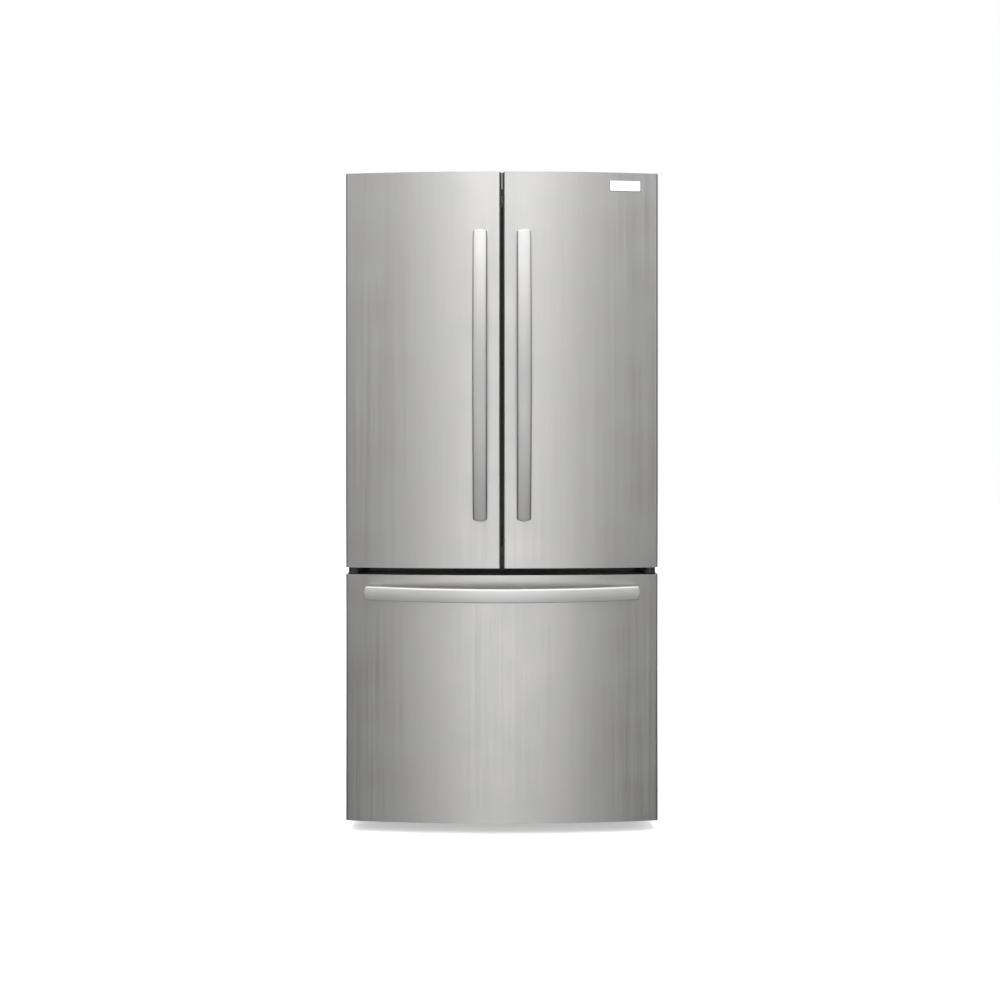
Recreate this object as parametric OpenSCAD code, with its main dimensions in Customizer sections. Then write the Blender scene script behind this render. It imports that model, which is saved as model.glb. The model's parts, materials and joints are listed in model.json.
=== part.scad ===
// French door refrigerator: two hinged upper doors over a pull-out freezer drawer.
// Millimetres, +Z up, the front faces -Y, and the origin is on the floor at the middle of the whole object.

/* [Overall] */
// Width across the two upper doors
door_span = 800; // [780:5:840]
// Depth of the cabinet from its front rim to its back panel
case_d = 600; // [590:5:660]
// Height of the two upper doors
door_h = 1008; // [1000:4:1100]
// Height of the freezer drawer's front
drawer_h = 630; // [620:5:680]
// Height of the drawer front's lower edge above the floor
floor_gap = 30; // [30:1:40]
// Upright gap between the upper doors and the drawer front
row_gap = 17.5; // [16:0.5:24]
// Gap between the two upper doors
door_gap = 12; // [8:0.5:14]

/* [Doors] */
// How far the middle of the front stands ahead of its side edges
bow = 22; // [14:1:30]
// Thickness of a door at its side edge
door_edge_t = 62; // [58:1:72]
// Space between the closed doors and the cabinet
seal_gap = 10; // [9:0.5:12]
// Thickness of the steel skins
skin_t = 1; // [0.6:0.1:1.5]
// Radius of the fronts' outer upright edges
edge_r = 8; // [4:1:12]
// Radius of the upper doors' free upright edges
free_edge_r = 2; // [2:0.1:6]
// Thickness of the plastic end caps
cap_t = 16; // [15:1:24]
// Height of the upper doors' front edge above the hinges' seat
top_lip = 20; // [18:1:26]
// Thickness of that front edge at the doors' sides
top_lip_t = 10; // [8:0.5:11]
// Thickness of the plastic door liners
door_liner_t = 2.5; // [2:0.1:3.5]
// Depth of the raised rim on an upper door's inner side
rim_d = 38; // [34:1:44]
// Thickness of the raised rim
rim_w = 24; // [18:1:28]
// Clearance between the raised rim and the compartment's walls
rim_play = 6; // [5:0.5:9]
// Depth of the raised rim on the freezer drawer's inner side
drawer_rim_d = 18; // [14:1:22]

/* [Seals] */
// Distance from a door's edge to its seal
seal_inset = 22; // [21:0.5:25]
// Width of a seal
seal_w = 22; // [18:1:24]
// Distance from an upper door's free edge to its seal
seal_free_inset = 4; // [2:0.5:6]
// Distance from the drawer front's lower edge to its seal
drawer_seal_low = 60; // [56:1:70]
// Strip of cabinet front between the seal and the compartment
seal_lip = 4; // [3:0.5:7]
// Clearance between a closed seal and the cabinet
seal_play = 0.3; // [0.2:0.1:0.6]
// Thickness of the wall that a seal's hollow leaves
seal_wall = 2; // [1.5:0.1:2.5]

/* [Handles] */
// Length of an upper door's handle
handle_len = 736; // [600:2:800]
// Width of an upper door's handle
handle_w = 35.5; // [30:0.5:38]
// Thickness of the handles
handle_t = 16; // [14:0.5:18]
// How far a door handle's middle stands ahead of its ends
handle_sag = 46; // [30:1:50]
// How far a door handle's middle stands ahead of the front
handle_reach = 68; // [66:1:80]
// Distance from the middle of the front to a door handle's centre line
handle_x = 55.5; // [48:0.5:70]
// Height of a door handle's lower end above its door's lower edge
handle_low = 121; // [80:1:160]
// Length of the drawer's handle
drawer_handle_len = 700; // [600:10:720]
// Height of the drawer handle's section
drawer_handle_w = 34; // [28:0.5:38]
// How far the drawer handle's middle stands ahead of its ends
drawer_handle_sag = 55; // [50:1:58]
// How far the drawer handle's middle stands ahead of the front
drawer_handle_reach = 64; // [62:1:66]
// Distance from the drawer front's upper edge to its handle
drawer_handle_drop = 27; // [16:1:40]
// Radius of the handles' posts
post_r = 10; // [7:0.5:12]
// Distance from a handle's end to its post
post_inset = 40; // [34:1:60]

/* [Badge plate] */
// Width of the bare plate on the right door
badge_w = 80; // [60:1:84]
// Height of the bare plate
badge_h = 28; // [20:1:34]
// Thickness of the bare plate
badge_t = 1.2; // [0.8:0.1:2]
// Distance from the right door's outer edge to the plate
badge_side = 46; // [40:1:80]
// Distance from the door's upper edge to the plate
badge_drop = 20; // [14:1:50]

/* [Cabinet] */
// How far the cabinet's sides lie inboard of the doors' sides
case_inset = 4; // [3:0.5:6]
// Thickness of the cabinet's steel sheet
sheet_t = 1.2; // [0.8:0.1:1.6]
// Width of the cabinet's front rim
flange_w = 18; // [14:1:20]
// Thickness of the compartment liners
liner_t = 2.5; // [2:0.1:3.5]
// Thickness of the insulated back wall
back_wall_t = 55; // [50:1:65]
// Height of the base above the floor
base_gap = 26; // [24:1:28]
// Height of the base's rails
base_rail_h = 40; // [36:1:44]
// Width of the base's side rails
base_rail_w = 55; // [50:1:60]
// Thickness of the base's steel
base_t = 2; // [1.5:0.1:3]
// Height of the machine space at the back
machine_h = 205; // [200:5:225]
// Depth of the machine space
machine_d = 200; // [195:5:215]
// Thickness of the insulation round the machine space
machine_wall = 45; // [40:1:50]
// Height of the rail between the compartments
mid_rail_h = 60; // [54:1:64]
// Depth of the rail between the compartments
mid_rail_d = 30; // [24:1:40]

/* [Hinges] */
// Distance from a door's side to its hinge pin
hinge_side = 19; // [18:0.5:20]
// Distance from a door's inner face to its hinge pin
hinge_front = 38; // [36:1:42]
// Radius of the hinge pins
hinge_pin_r = 6; // [5:0.5:7]
// Length of a hinge pin inside a door
hinge_pin_len = 12; // [9:0.5:13]
// Radial clearance of the pins in their bores
pin_play = 0.05; // [0.02:0.01:0.1]
// Thickness of the hinge plates
hinge_plate_t = 4; // [3:0.5:5]
// Upright clearance between a door and its upper hinge plate
hinge_play = 1; // [0.8:0.1:2]
// Width of the hinge plates
hinge_plate_w = 44; // [40:1:50]
// How far the hinge covers lie below the doors' upper edge
cover_drop = 2; // [1:0.5:4]
// Width of the hinge covers
cover_w = 60; // [56:1:76]
// Wall of the hinge covers
cover_wall = 2; // [1.5:0.1:3]

/* [Fold-out mullion] */
// Width of the folding bar that closes the gap between the doors
flap_w = 71; // [66:1:76]
// Thickness of the folding bar
flap_t = 14; // [12:0.5:15]
// Radius of the folding bar's pivots
flap_pin_r = 3; // [2.5:0.5:4]
// Distance from the middle to the folding bar's pivot
flap_x = 38; // [36:1:40]
// Clearance between the folding bar's ends and its brackets
flap_play = 1; // [0.5:0.1:2]
// Distance from the middle to an upper door's raised rim
rim_x = 48; // [47:0.5:52]

/* [Fresh food compartment] */
// Height of the full-width drawer
pantry_h = 126; // [124:1:134]
// Height of the crispers
crisper_h = 164; // [150:2:170]
// Upright clearance above each drawer
drawer_air = 6; // [5:0.5:8]
// Distance between shelf levels
shelf_pitch = 200; // [180:5:210]
// Height of a shelf frame
shelf_frame_h = 16; // [14:1:20]
// Width of a shelf frame's bars
shelf_bar = 20; // [16:1:26]
// Thickness of the glass
glass_t = 4; // [3:0.5:5]
// Distance from the cabinet's front to the shelves
shelf_front = 142; // [138:1:160]
// Distance from the shelves to the back wall
shelf_back = 34; // [32:1:40]
// Wall of the clear drawers and bins
tub_t = 2.5; // [2:0.1:3.5]
// Depth of the door bins
bin_d = 112; // [90:2:120]
// Height of the door bins
bin_h = 100; // [80:2:104]
// Distance between the upper door bins
bin_pitch = 270; // [240:5:290]

/* [Freezer] */
// Height of the slides above the step in the freezer's floor
slide_rise = 54; // [50:1:60]
// Height of the slides' outer members
slide_h = 46; // [42:1:50]
// Clearance between the freezer bin and the step behind it
bin_back_air = 18; // [14:1:40]
// Height of the freezer bin
freezer_bin_h = 225; // [200:5:230]
// Depth of the freezer tray
tray_d = 180; // [150:5:190]
// Height of the freezer tray
tray_h = 96; // [80:2:110]
// Depth of the space behind the cooling cover
evap_space = 70; // [66:1:80]

/* [Running gear] */
// Radius of the feet
foot_r = 20; // [16:1:24]
// Height of the feet's pads
foot_h = 12; // [9:1:15]
// Radius of the feet's stems
stem_r = 5; // [4:0.5:6]
// Radius of the rollers
roller_r = 20; // [18:1:22]
// Width of the rollers
roller_w = 18; // [14:1:22]
// Radius of the rollers' axles
axle_r = 4; // [3:0.5:5]

/* [Machinery] */
// Radius of the compressor's shell
compressor_r = 72; // [64:1:78]
// Height of the compressor's shell
compressor_h = 130; // [110:5:140]
// Radius of the machine fan
cond_fan_r = 58; // [50:1:62]
// Radius of the cooling fan
evap_fan_r = 46; // [40:1:50]
// Radius of the fans' shafts
shaft_r = 2.5; // [2:0.5:3]

/* [Hidden] */
$fn = 48;

// Clearance between flat faces of pieces that slide past each other
slide_play = 0.3;
// How far a cutting shape runs past the face that it opens
cut = 1;

// Across: half widths from the middle plane
half_w = door_span / 2;
case_half = half_w - case_inset;
wall_in = case_half - sheet_t;
lip_half = case_half - flange_w;
seal_band = seal_inset + seal_w + seal_lip;
room_half = half_w - seal_band;
hinge_x = half_w - hinge_side;

// From back to front
total_d = case_d + seal_gap + door_edge_t + bow + handle_reach;
y_back = total_d / 2;
y_case = y_back - case_d;
y_door = y_case - seal_gap;
y_edge = y_door - door_edge_t;
y_apex = y_edge - bow;
bow_r = (half_w * half_w + bow * bow) / (2 * bow);
y_bow = y_apex + bow_r;
y_room = y_back - back_wall_t;
y_machine = y_back - machine_d;
y_step = y_machine - machine_wall;
y_hinge = y_door - hinge_front;
y_evap = y_room - evap_space;

// From the floor up
z_drawer0 = floor_gap;
z_drawer1 = z_drawer0 + drawer_h;
z_door0 = z_drawer1 + row_gap;
z_door1 = z_door0 + door_h;
z_cap1 = z_door1 - top_lip;
z_top = z_cap1 + hinge_play;
z_base1 = base_gap + base_rail_h;
z_mid = z_drawer1 + row_gap / 2;
z_room0 = z_door0 + seal_band;
z_room1 = z_cap1 - seal_band;
z_freeze0 = z_drawer0 + drawer_seal_low + seal_w + seal_lip;
z_freeze1 = z_drawer1 - seal_band;
z_machine1 = base_gap + machine_h;
z_step = z_machine1 + machine_wall;

// Fresh food compartment: ledges, drawers and shelves, from its floor up
ledge_w = 10;
ledge_h = 6;
tub_rim_h = 4;
z_pantry0 = z_room0 + drawer_air;
z_pantry1 = z_pantry0 + pantry_h;
z_crisper0 = z_pantry1 + drawer_air;
z_crisper1 = z_crisper0 + crisper_h;
z_cover_shelf = z_crisper1 + drawer_air;
shelf_levels = [for (i = [0:2]) z_cover_shelf + i * shelf_pitch];
y_shelf0 = y_case + shelf_front;
y_shelf1 = y_room - shelf_back;
tub_half = room_half - ledge_w - slide_play;
divider_w = 12;

// Door bins, on ledges between the sides of the raised rim
bin_x0 = rim_x + rim_w + slide_play;
bin_x1 = room_half - rim_play - rim_w - slide_play;
bin_ledge_h = 6;
z_rim0 = z_room0 + rim_play;
z_rim1 = z_room1 - rim_play;
z_low_bin = z_rim0 + rim_w + bin_ledge_h;
z_high_bin = shelf_levels[0] + 20;
bin_levels = [z_low_bin, z_high_bin, z_high_bin + bin_pitch];

// Folding bar between the doors
flap_back = 8;
y_flap = y_case + flap_back;
flap_knuckle_r = 6;
bracket_t = 12;
z_flap0 = z_rim0 + rim_play + bracket_t + flap_play;
z_flap1 = z_rim1 - rim_play - bracket_t - flap_play;

// Freezer slides: an outer, a middle and an inner member a side
slide_wall = 1.5;
slide_fixed_w = 7;
slide_mid_w = 10;
slide_mid_pocket = 4;
slide_inner_w = 10;
z_slide = z_step + slide_rise;
slide_gap = 6;
y_slide0 = y_door + drawer_rim_d + slide_gap;
y_slide1 = y_evap - slide_gap;
slide_mid_h = slide_h - 2 * (slide_wall + slide_play);
slide_inner_h = slide_mid_h - 2 * (slide_wall + slide_play);
x_mid_out = room_half - slide_wall - slide_play;
x_mid_in = x_mid_out - slide_mid_w;
x_inner_out = x_mid_in + slide_mid_pocket - slide_play;
x_inner_in = x_inner_out - slide_inner_w;
z_freezer_bin1 = z_slide + slide_inner_h / 2 + tub_rim_h;
freezer_bin_half = x_inner_in - slide_play;
rail_grip = x_mid_in - slide_play;
bin_front_air = 3;
y_freezer_bin0 = y_door + drawer_rim_d + bin_front_air;
y_freezer_bin1 = y_step - bin_back_air;

// Feet and rollers
foot_x = case_half - base_rail_w / 2 - sheet_t;
foot_back = 46;
y_foot = y_case + foot_back;
roller_back = 42;
y_roller = y_back - roller_back;
cheek_t = 3;

// Machinery
y_mach_mid = y_back - machine_d / 2;
z_mach_floor = base_gap + base_t;
cond_fan_x = 14;
z_cond_fan = z_mach_floor + 88;
z_evap_fan = z_freeze1 - evap_fan_r - 16;

// Controls
panel_w = 300;
panel_h = 30;
panel_d = 190;
panel_front = 92;
y_panel = y_case + panel_front;
button_w = 22;
button_h = 12;
button_l = 8;
button_out = 2;
button_travel = 1.2;
button_x = 60;
z_button = z_room1 - panel_h / 2;

// Helpers

// A box between two values on each axis
module span(x, y, z) {
    translate([x[0], y[0], z[0]])
        cube([x[1] - x[0], y[1] - y[0], z[1] - z[0]]);
}

module both_sides() {
    children();
    mirror([1, 0, 0]) children();
}

// A box with an open top
module tub(x, y, z, wall) {
    difference() {
        span(x, y, z);
        span([x[0] + wall, x[1] - wall], [y[0] + wall, y[1] - wall], [z[0] + wall, z[1] + cut]);
    }
}

// A flat ring in the plane of the doors, between two outlines
module ring(x, z, w, y) {
    difference() {
        span(x, y, z);
        span([x[0] + w, x[1] - w], [y[0] - cut, y[1] + cut], [z[0] + w, z[1] - w]);
    }
}

// Depth of the bowed front at x
function bow_y(x) = y_bow - sqrt(bow_r * bow_r - x * x);

// Points of an upright edge's arc about c, from angle a0 to a1
function edge_arc(c, r, a0, a1) = [
    for (i = [0:6]) c + r * [cos(a0 + (a1 - a0) * i / 6), sin(a0 + (a1 - a0) * i / 6)]
];

// Centre of an upright edge's arc of radius r at x, inside the bow
function edge_centre(x, r) = [x, y_bow - sqrt(pow(bow_r - r, 2) - x * x)];

// Plan of a front between x0 and x1, inset by a cover's thickness, with its edges rounded by r0 and edge_r
function front_plan(x0, x1, cover, r0) =
    let (
        c0 = edge_centre(x0 + r0, r0),
        c1 = edge_centre(x1 - edge_r, edge_r),
        a0 = atan2(c0.y - y_bow, c0.x),
        a1 = atan2(c1.y - y_bow, c1.x),
        steps = 16
    )
    concat(
        [[x0 + cover, y_door]],
        edge_arc(c0, r0 - cover, -180, a0),
        [for (i = [1:steps - 1])
            let (a = a0 + (a1 - a0) * i / steps)
            [(bow_r - cover) * cos(a), y_bow + (bow_r - cover) * sin(a)]],
        edge_arc(c1, edge_r - cover, a1, 0),
        [[x1 - cover, y_door]]
    );

module front_block(x0, x1, z, cover, r0 = edge_r) {
    translate([0, 0, z[0]])
        linear_extrude(z[1] - z[0])
            polygon(front_plan(x0, x1, cover, r0));
}

// A steel wrap: the front and both upright sides
module front_skin(x0, x1, z, r0 = edge_r) {
    difference() {
        front_block(x0, x1, z, 0, r0);
        front_block(x0, x1, [z[0] - cut, z[1] + cut], skin_t, r0);
        span([x0 + skin_t, x1 - skin_t], [y_door - cut, y_door + cut], [z[0] - cut, z[1] + cut]);
    }
}

// A raised rim filled with insulation: its shell, or with a cover its filling
module raised_rim(x, z, d, cover) {
    ring([x[0] + cover, x[1] - cover], [z[0] + cover, z[1] - cover], rim_w - 2 * cover,
        [y_door - 2 * door_liner_t, y_door + d - cover]);
}

// A door's inner panel: a plate with a hollow raised rim
module inner_panel(x0, x1, z, rim_xs, rim_zs, d) {
    difference() {
        union() {
            span([x0 + skin_t, x1 - skin_t], [y_door - door_liner_t, y_door], z);
            intersection() {
                raised_rim(rim_xs, rim_zs, d, 0);
                span([x0, x1], [y_door - door_liner_t, y_door + d], z);
            }
        }
        raised_rim(rim_xs, rim_zs, d, door_liner_t);
    }
}

// A hollow seal: a ring with a channel in the face that meets the door
module seal(x, z) {
    difference() {
        ring(x, z, seal_w, [y_door, y_case - seal_play]);
        ring([x[0] + seal_wall, x[1] - seal_wall], [z[0] + seal_wall, z[1] - seal_wall],
            seal_w - 2 * seal_wall, [y_door - cut, y_case - seal_play - seal_wall - cut]);
    }
}

// Section of a handle: slightly crowned outside, flat inside, from radius r - handle_t to r
module handle_section(r, w) {
    crown_r = 7 * w;
    intersection() {
        translate([r - handle_t, -w / 2]) square([handle_t, w]);
        translate([r - crown_r, 0]) circle(crown_r, $fn = 720);
    }
}

// A bowed bar along Z about an axis parallel to X, its middle's outer face at the origin
module bowed_bar(len, w, sag) {
    r = (len * len / 4 + sag * sag) / (2 * sag);
    a = asin(len / 2 / r);
    intersection() {
        translate([0, r, 0])
            rotate([0, -90, 0])
                rotate([0, 0, -90 - a])
                    rotate_extrude(angle = 2 * a, $fn = 128)
                        handle_section(r, w);
        bar_outline(len, w);
    }
}

// Front outline of a handle, its ends arcs of a radius equal to its width
module bar_outline(len, w) {
    end_r = w;
    rotate([90, 0, 0])
        linear_extrude(4 * w, center = true)
            intersection() {
                square([w, len], center = true);
                union() {
                    square([2 * w, len - 2 * end_r], center = true);
                    for (side = [-1, 1])
                        translate([0, side * (len / 2 - end_r)]) circle(end_r, $fn = 96);
                }
            }
}

// A post square to the bowed front at x, reaching out by len
module front_post(x, z, len) {
    translate([0, y_bow, z])
        rotate([0, 0, asin(x / bow_r)])
            translate([0, -bow_r, 0])
                rotate([90, 0, 0])
                    cylinder(r = post_r, h = len);
}

// Upright slots side by side, cut through a plate that faces Y
module slots(x, y, z, n, w) {
    pitch = (x[1] - x[0] - w) / (n - 1);
    for (i = [0:n - 1])
        span([x[0] + i * pitch, x[0] + i * pitch + w], y, z);
}

// A fan about Z: a hub with pitched blades
module fan(r, hub_r, h, blades) {
    difference() {
        union() {
            cylinder(r = hub_r, h = h);
            for (i = [0:blades - 1])
                rotate([0, 0, i * 360 / blades])
                    translate([hub_r * 0.7, 0, h / 2])
                        rotate([32, 0, 0])
                            translate([0, -r * 0.28, -1])
                                cube([r - hub_r * 0.7 - 2, r * 0.56, 2]);
        }
        translate([0, 0, -cut]) cylinder(r = shaft_r + pin_play, h = h - 2);
    }
}

// A finned tube block: fins across X with tubes through them
module finned_block(x, y, z, fins, rows) {
    fin_t = 1;
    tube_r = 4;
    pitch = (x[1] - x[0] - fin_t) / (fins - 1);
    rise = (z[1] - z[0]) / rows;
    union() {
        for (i = [0:fins - 1])
            span([x[0] + i * pitch, x[0] + i * pitch + fin_t], y, z);
        for (k = [0:rows - 1])
            translate([x[0] - 12, (y[0] + y[1]) / 2, z[0] + (k + 0.5) * rise])
                rotate([0, 90, 0])
                    cylinder(r = tube_r, h = x[1] - x[0] + 24, $fn = 24);
        for (k = [0:rows - 2])
            translate([k % 2 == 0 ? x[1] + 12 : x[0] - 12, (y[0] + y[1]) / 2, z[0] + (k + 1) * rise])
                rotate([90, 0, 0])
                    rotate([0, 0, k % 2 == 0 ? -90 : 90])
                        rotate_extrude(angle = 180, $fn = 48)
                            translate([rise / 2, 0]) circle(tube_r, $fn = 24);
    }
}

// Cabinet

module cabinet_shell() {
    color("#8f9396") {
        difference() {
            span([-case_half, case_half], [y_case, y_back], [base_gap, z_top]);
            span([-wall_in, wall_in], [y_case + sheet_t, y_back + cut], [base_gap - cut, z_top - sheet_t]);
            span([-lip_half, lip_half], [y_case - cut, y_case + 2 * sheet_t],
                [base_gap - cut, z_top - flange_w]);
        }
    }
}

module back_panel() {
    color("#a9adb0") {
        span([-wall_in, wall_in], [y_back - sheet_t, y_back], [z_machine1, z_top - sheet_t]);
        span([-wall_in, wall_in], [y_machine - sheet_t, y_back], [z_machine1, z_machine1 + sheet_t]);
        span([-wall_in, wall_in], [y_machine - sheet_t, y_machine], [z_base1, z_machine1 + sheet_t]);
    }
}

// Side view of the freezer's hollow, grown by a liner's thickness
module freezer_hollow(grow) {
    x = room_half + grow;
    y0 = y_case - (grow > 0 ? 0 : cut);
    difference() {
        span([-x, x], [y0, y_room + grow], [z_freeze0 - grow, z_freeze1 + grow]);
        span([-x - cut, x + cut], [y_step + grow, y_room + grow + cut],
            [z_freeze0 - grow - cut, z_step - grow]);
    }
}

module fridge_hollow(grow) {
    x = room_half + grow;
    y0 = y_case - (grow > 0 ? 0 : cut);
    span([-x, x], [y0, y_room + grow], [z_room0 - grow, z_room1 + grow]);
}

module cabinet_foam() {
    color("#e3d9a8")
        difference() {
            span([-wall_in, wall_in], [y_case + liner_t, y_back - sheet_t], [z_base1, z_top - sheet_t]);
            span([-wall_in - cut, wall_in + cut], [y_machine - sheet_t, y_back + cut],
                [z_base1 - cut, z_machine1 + sheet_t]);
            fridge_hollow(liner_t);
            freezer_hollow(liner_t);
            span([-lip_half, lip_half], [y_case, y_case + mid_rail_d],
                [z_mid - mid_rail_h / 2, z_mid + mid_rail_h / 2]);
        }
}

// A pair of ledges on the compartment's side walls, their upper faces at z
module ledges(z, y) {
    both_sides()
        span([room_half - ledge_w, room_half + liner_t / 2], y, [z - ledge_h, z]);
}

module fridge_liner() {
    color("#e9ebec")
        union() {
            difference() {
                union() {
                    fridge_hollow(liner_t);
                    span([-lip_half, lip_half], [y_case, y_case + liner_t],
                        [z_mid + mid_rail_h / 2, z_top - flange_w]);
                }
                fridge_hollow(0);
            }
            for (z = shelf_levels) ledges(z, [y_shelf0 + 10, y_shelf1]);
            ledges(z_crisper1 - tub_rim_h - slide_play, [y_shelf0 + 10, y_shelf1]);
            ledges(z_pantry1 - tub_rim_h - slide_play, [y_shelf0 + 10, y_shelf1]);
        }
}

module freezer_liner() {
    color("#dfe2e4")
        difference() {
            union() {
                freezer_hollow(liner_t);
                span([-lip_half, lip_half], [y_case, y_case + liner_t],
                    [z_base1, z_mid - mid_rail_h / 2]);
            }
            freezer_hollow(0);
        }
}

module center_rail() {
    z = [z_mid - mid_rail_h / 2, z_mid + mid_rail_h / 2];
    color("#b6babd")
        difference() {
            span([-lip_half, lip_half], [y_case, y_case + mid_rail_d], z);
            span([-lip_half - cut, lip_half + cut], [y_case + base_t, y_case + mid_rail_d + cut],
                [z[0] + base_t, z[1] - base_t]);
        }
}

// Base, feet and rollers

module base_frame() {
    boss_r = stem_r + 5;
    rail_in = wall_in - base_rail_w;
    color("#6e7275")
        difference() {
            union() {
                // Deck under the insulation, and the lower floor of the machine space
                span([-wall_in, wall_in], [y_case + sheet_t, y_machine], [z_base1 - base_t, z_base1]);
                span([-wall_in, wall_in], [y_machine - base_t, y_machine], [base_gap, z_base1]);
                span([-wall_in, wall_in], [y_machine - base_t, y_back - sheet_t],
                    [base_gap, z_mach_floor]);
                span([-lip_half, lip_half], [y_case, y_case + base_t], [base_gap, z_base1]);
                both_sides() {
                    span([rail_in, rail_in + base_t], [y_case, y_machine], [base_gap, z_base1]);
                    span([wall_in - base_t, wall_in], [y_case + sheet_t, y_machine], [base_gap, z_base1]);
                    translate([foot_x, y_foot, base_gap]) cylinder(r = boss_r, h = base_rail_h);
                    span([rail_in, wall_in], [y_foot - boss_r, y_foot + boss_r],
                        [base_gap, base_gap + base_t]);
                    for (side = [-1, 1])
                        span([foot_x + side * (roller_w / 2 + cheek_t / 2 + slide_play) - cheek_t / 2,
                              foot_x + side * (roller_w / 2 + cheek_t / 2 + slide_play) + cheek_t / 2],
                            [y_roller - axle_r * 2.5, y_roller + axle_r * 2.5],
                            [roller_r - axle_r * 2, z_mach_floor]);
                }
            }
            both_sides() {
                translate([foot_x, y_foot, 0]) cylinder(r = stem_r + pin_play, h = z_base1 + cut);
                span([foot_x - roller_w / 2 - slide_play, foot_x + roller_w / 2 + slide_play],
                    [y_roller - roller_r - 4, y_roller + roller_r + 4], [base_gap - cut, z_mach_floor + cut]);
            }
        }
    color("#6e7275")
        both_sides()
            translate([foot_x - roller_w / 2 - slide_play, y_roller, roller_r])
                rotate([0, 90, 0])
                    cylinder(r = axle_r, h = roller_w + 2 * slide_play);
}

module foot() {
    color("#2c2e30")
        union() {
            cylinder(r = foot_r, h = foot_h - 3);
            translate([0, 0, foot_h - 3]) cylinder(r1 = foot_r, r2 = foot_r - 3, h = 3);
            cylinder(r = stem_r, h = z_base1 - 8);
            translate([0, 0, foot_h]) cylinder(r = stem_r * 1.8, h = 7, $fn = 6);
        }
}

module left_foot() {
    translate([-foot_x, y_foot, 0]) foot();
}

module right_foot() {
    translate([foot_x, y_foot, 0]) foot();
}

module roller() {
    color("#3a3c3e")
        rotate([0, 90, 0])
            difference() {
                cylinder(r = roller_r, h = roller_w, center = true);
                cylinder(r = axle_r + pin_play, h = roller_w + 2 * cut, center = true);
                for (side = [-1, 1])
                    translate([0, 0, side * roller_w / 2])
                        difference() {
                            cylinder(r = roller_r - 3, h = 5, center = true);
                            cylinder(r = axle_r + 3, h = 5 + cut, center = true);
                        }
            }
}

module left_roller() {
    translate([-foot_x, y_roller, roller_r]) roller();
}

module right_roller() {
    translate([foot_x, y_roller, roller_r]) roller();
}

module toe_grille() {
    grille_t = 3;
    z0 = 8;
    slot_n = 28;
    color("#3b3d40")
        difference() {
            span([-lip_half, lip_half], [y_case - grille_t, y_case], [z0, z_base1 - 4]);
            slots([-lip_half + 30, lip_half - 30], [y_case - grille_t - cut, y_case + cut],
                [z0 + 4, base_gap - 3], slot_n, 12);
        }
}

// Machine space

module machine_cover() {
    slot_n = 22;
    rows = 4;
    color("#5a5d60")
        difference() {
            span([-wall_in, wall_in], [y_back - sheet_t, y_back], [z_mach_floor, z_machine1]);
            for (k = [0:rows - 1])
                slots([-wall_in + 60, wall_in - 160], [y_back - sheet_t - cut, y_back + cut],
                    [z_mach_floor + 40 + k * 34, z_mach_floor + 62 + k * 34], slot_n, 10);
            inlet_opening(slide_play);
        }
}

inlet_w = 48;
inlet_h = 34;
inlet_d = 26;
inlet_x = wall_in - 90;
z_inlet = z_mach_floor + 90;

module inlet_opening(grow) {
    span([inlet_x - inlet_w / 2 - grow, inlet_x + inlet_w / 2 + grow],
        [y_back - inlet_d, y_back + cut],
        [z_inlet - inlet_h / 2 - grow, z_inlet + inlet_h / 2 + grow]);
}

module power_inlet() {
    face = 3;
    ear = 9;
    color("#1f2022") {
        difference() {
            union() {
                span([inlet_x - inlet_w / 2, inlet_x + inlet_w / 2], [y_back - inlet_d, y_back],
                    [z_inlet - inlet_h / 2, z_inlet + inlet_h / 2]);
                span([inlet_x - inlet_w / 2 - ear, inlet_x + inlet_w / 2 + ear],
                    [y_back - sheet_t - face, y_back - sheet_t],
                    [z_inlet - inlet_h / 2 - 3, z_inlet + inlet_h / 2 + 3]);
            }
            span([inlet_x - inlet_w / 2 + face * 2, inlet_x + inlet_w / 2 - face * 2],
                [y_back - inlet_d + face * 2, y_back + cut],
                [z_inlet - inlet_h / 2 + face * 2, z_inlet + inlet_h / 2 - face * 2]);
        }
        for (i = [-1:1])
            translate([inlet_x + i * 10, y_back - inlet_d + face, z_inlet + (i == 0 ? 4 : -3)])
                rotate([-90, 0, 0])
                    cylinder(r = 2, h = inlet_d - face * 2 - 2, $fn = 24);
    }
}

module compressor() {
    x = -wall_in + 120 + compressor_r;
    grommet_h = 12;
    plate_t = 3;
    dome_r = 46;
    z0 = z_mach_floor + grommet_h;
    color("#1c1d1f")
        translate([x, y_mach_mid, z0])
            union() {
                rotate_extrude($fn = 96)
                    intersection() {
                        square([compressor_r, compressor_h]);
                        union() {
                            translate([compressor_r - dome_r, compressor_h - dome_r])
                                circle(dome_r, $fn = 96);
                            square([compressor_r - dome_r, compressor_h]);
                            square([compressor_r, compressor_h - dome_r]);
                        }
                    }
                span([-compressor_r, compressor_r], [-compressor_r, compressor_r], [0, plate_t]);
                for (sx = [-1, 1], sy = [-1, 1])
                    translate([sx * (compressor_r - 12), sy * (compressor_r - 12), -grommet_h])
                        cylinder(r = 9, h = grommet_h);
                // Terminal box and the two pipe stubs
                span([compressor_r - 10, compressor_r + 12], [-24, 24], [40, 86]);
                for (sy = [-1, 1])
                    translate([-compressor_r + 18, sy * 26, compressor_h - 30])
                        cylinder(r = 4, h = 48, $fn = 24);
            }
}

// The condenser stands beside the fan's motor
coil_x0 = cond_fan_x + 74;
coil_x1 = coil_x0 + 186;

module condenser_coil() {
    y = [y_mach_mid - 55, y_mach_mid + 55];
    z = [z_mach_floor + 16, z_mach_floor + 160];
    color("#26282a")
        union() {
            finned_block([coil_x0, coil_x1], y, z, 16, 4);
            for (x = [coil_x0, coil_x1])
                span([x - 1.5, x + 1.5], [y[0], y[1]], [z_mach_floor, z[0] + 2]);
        }
}

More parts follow.
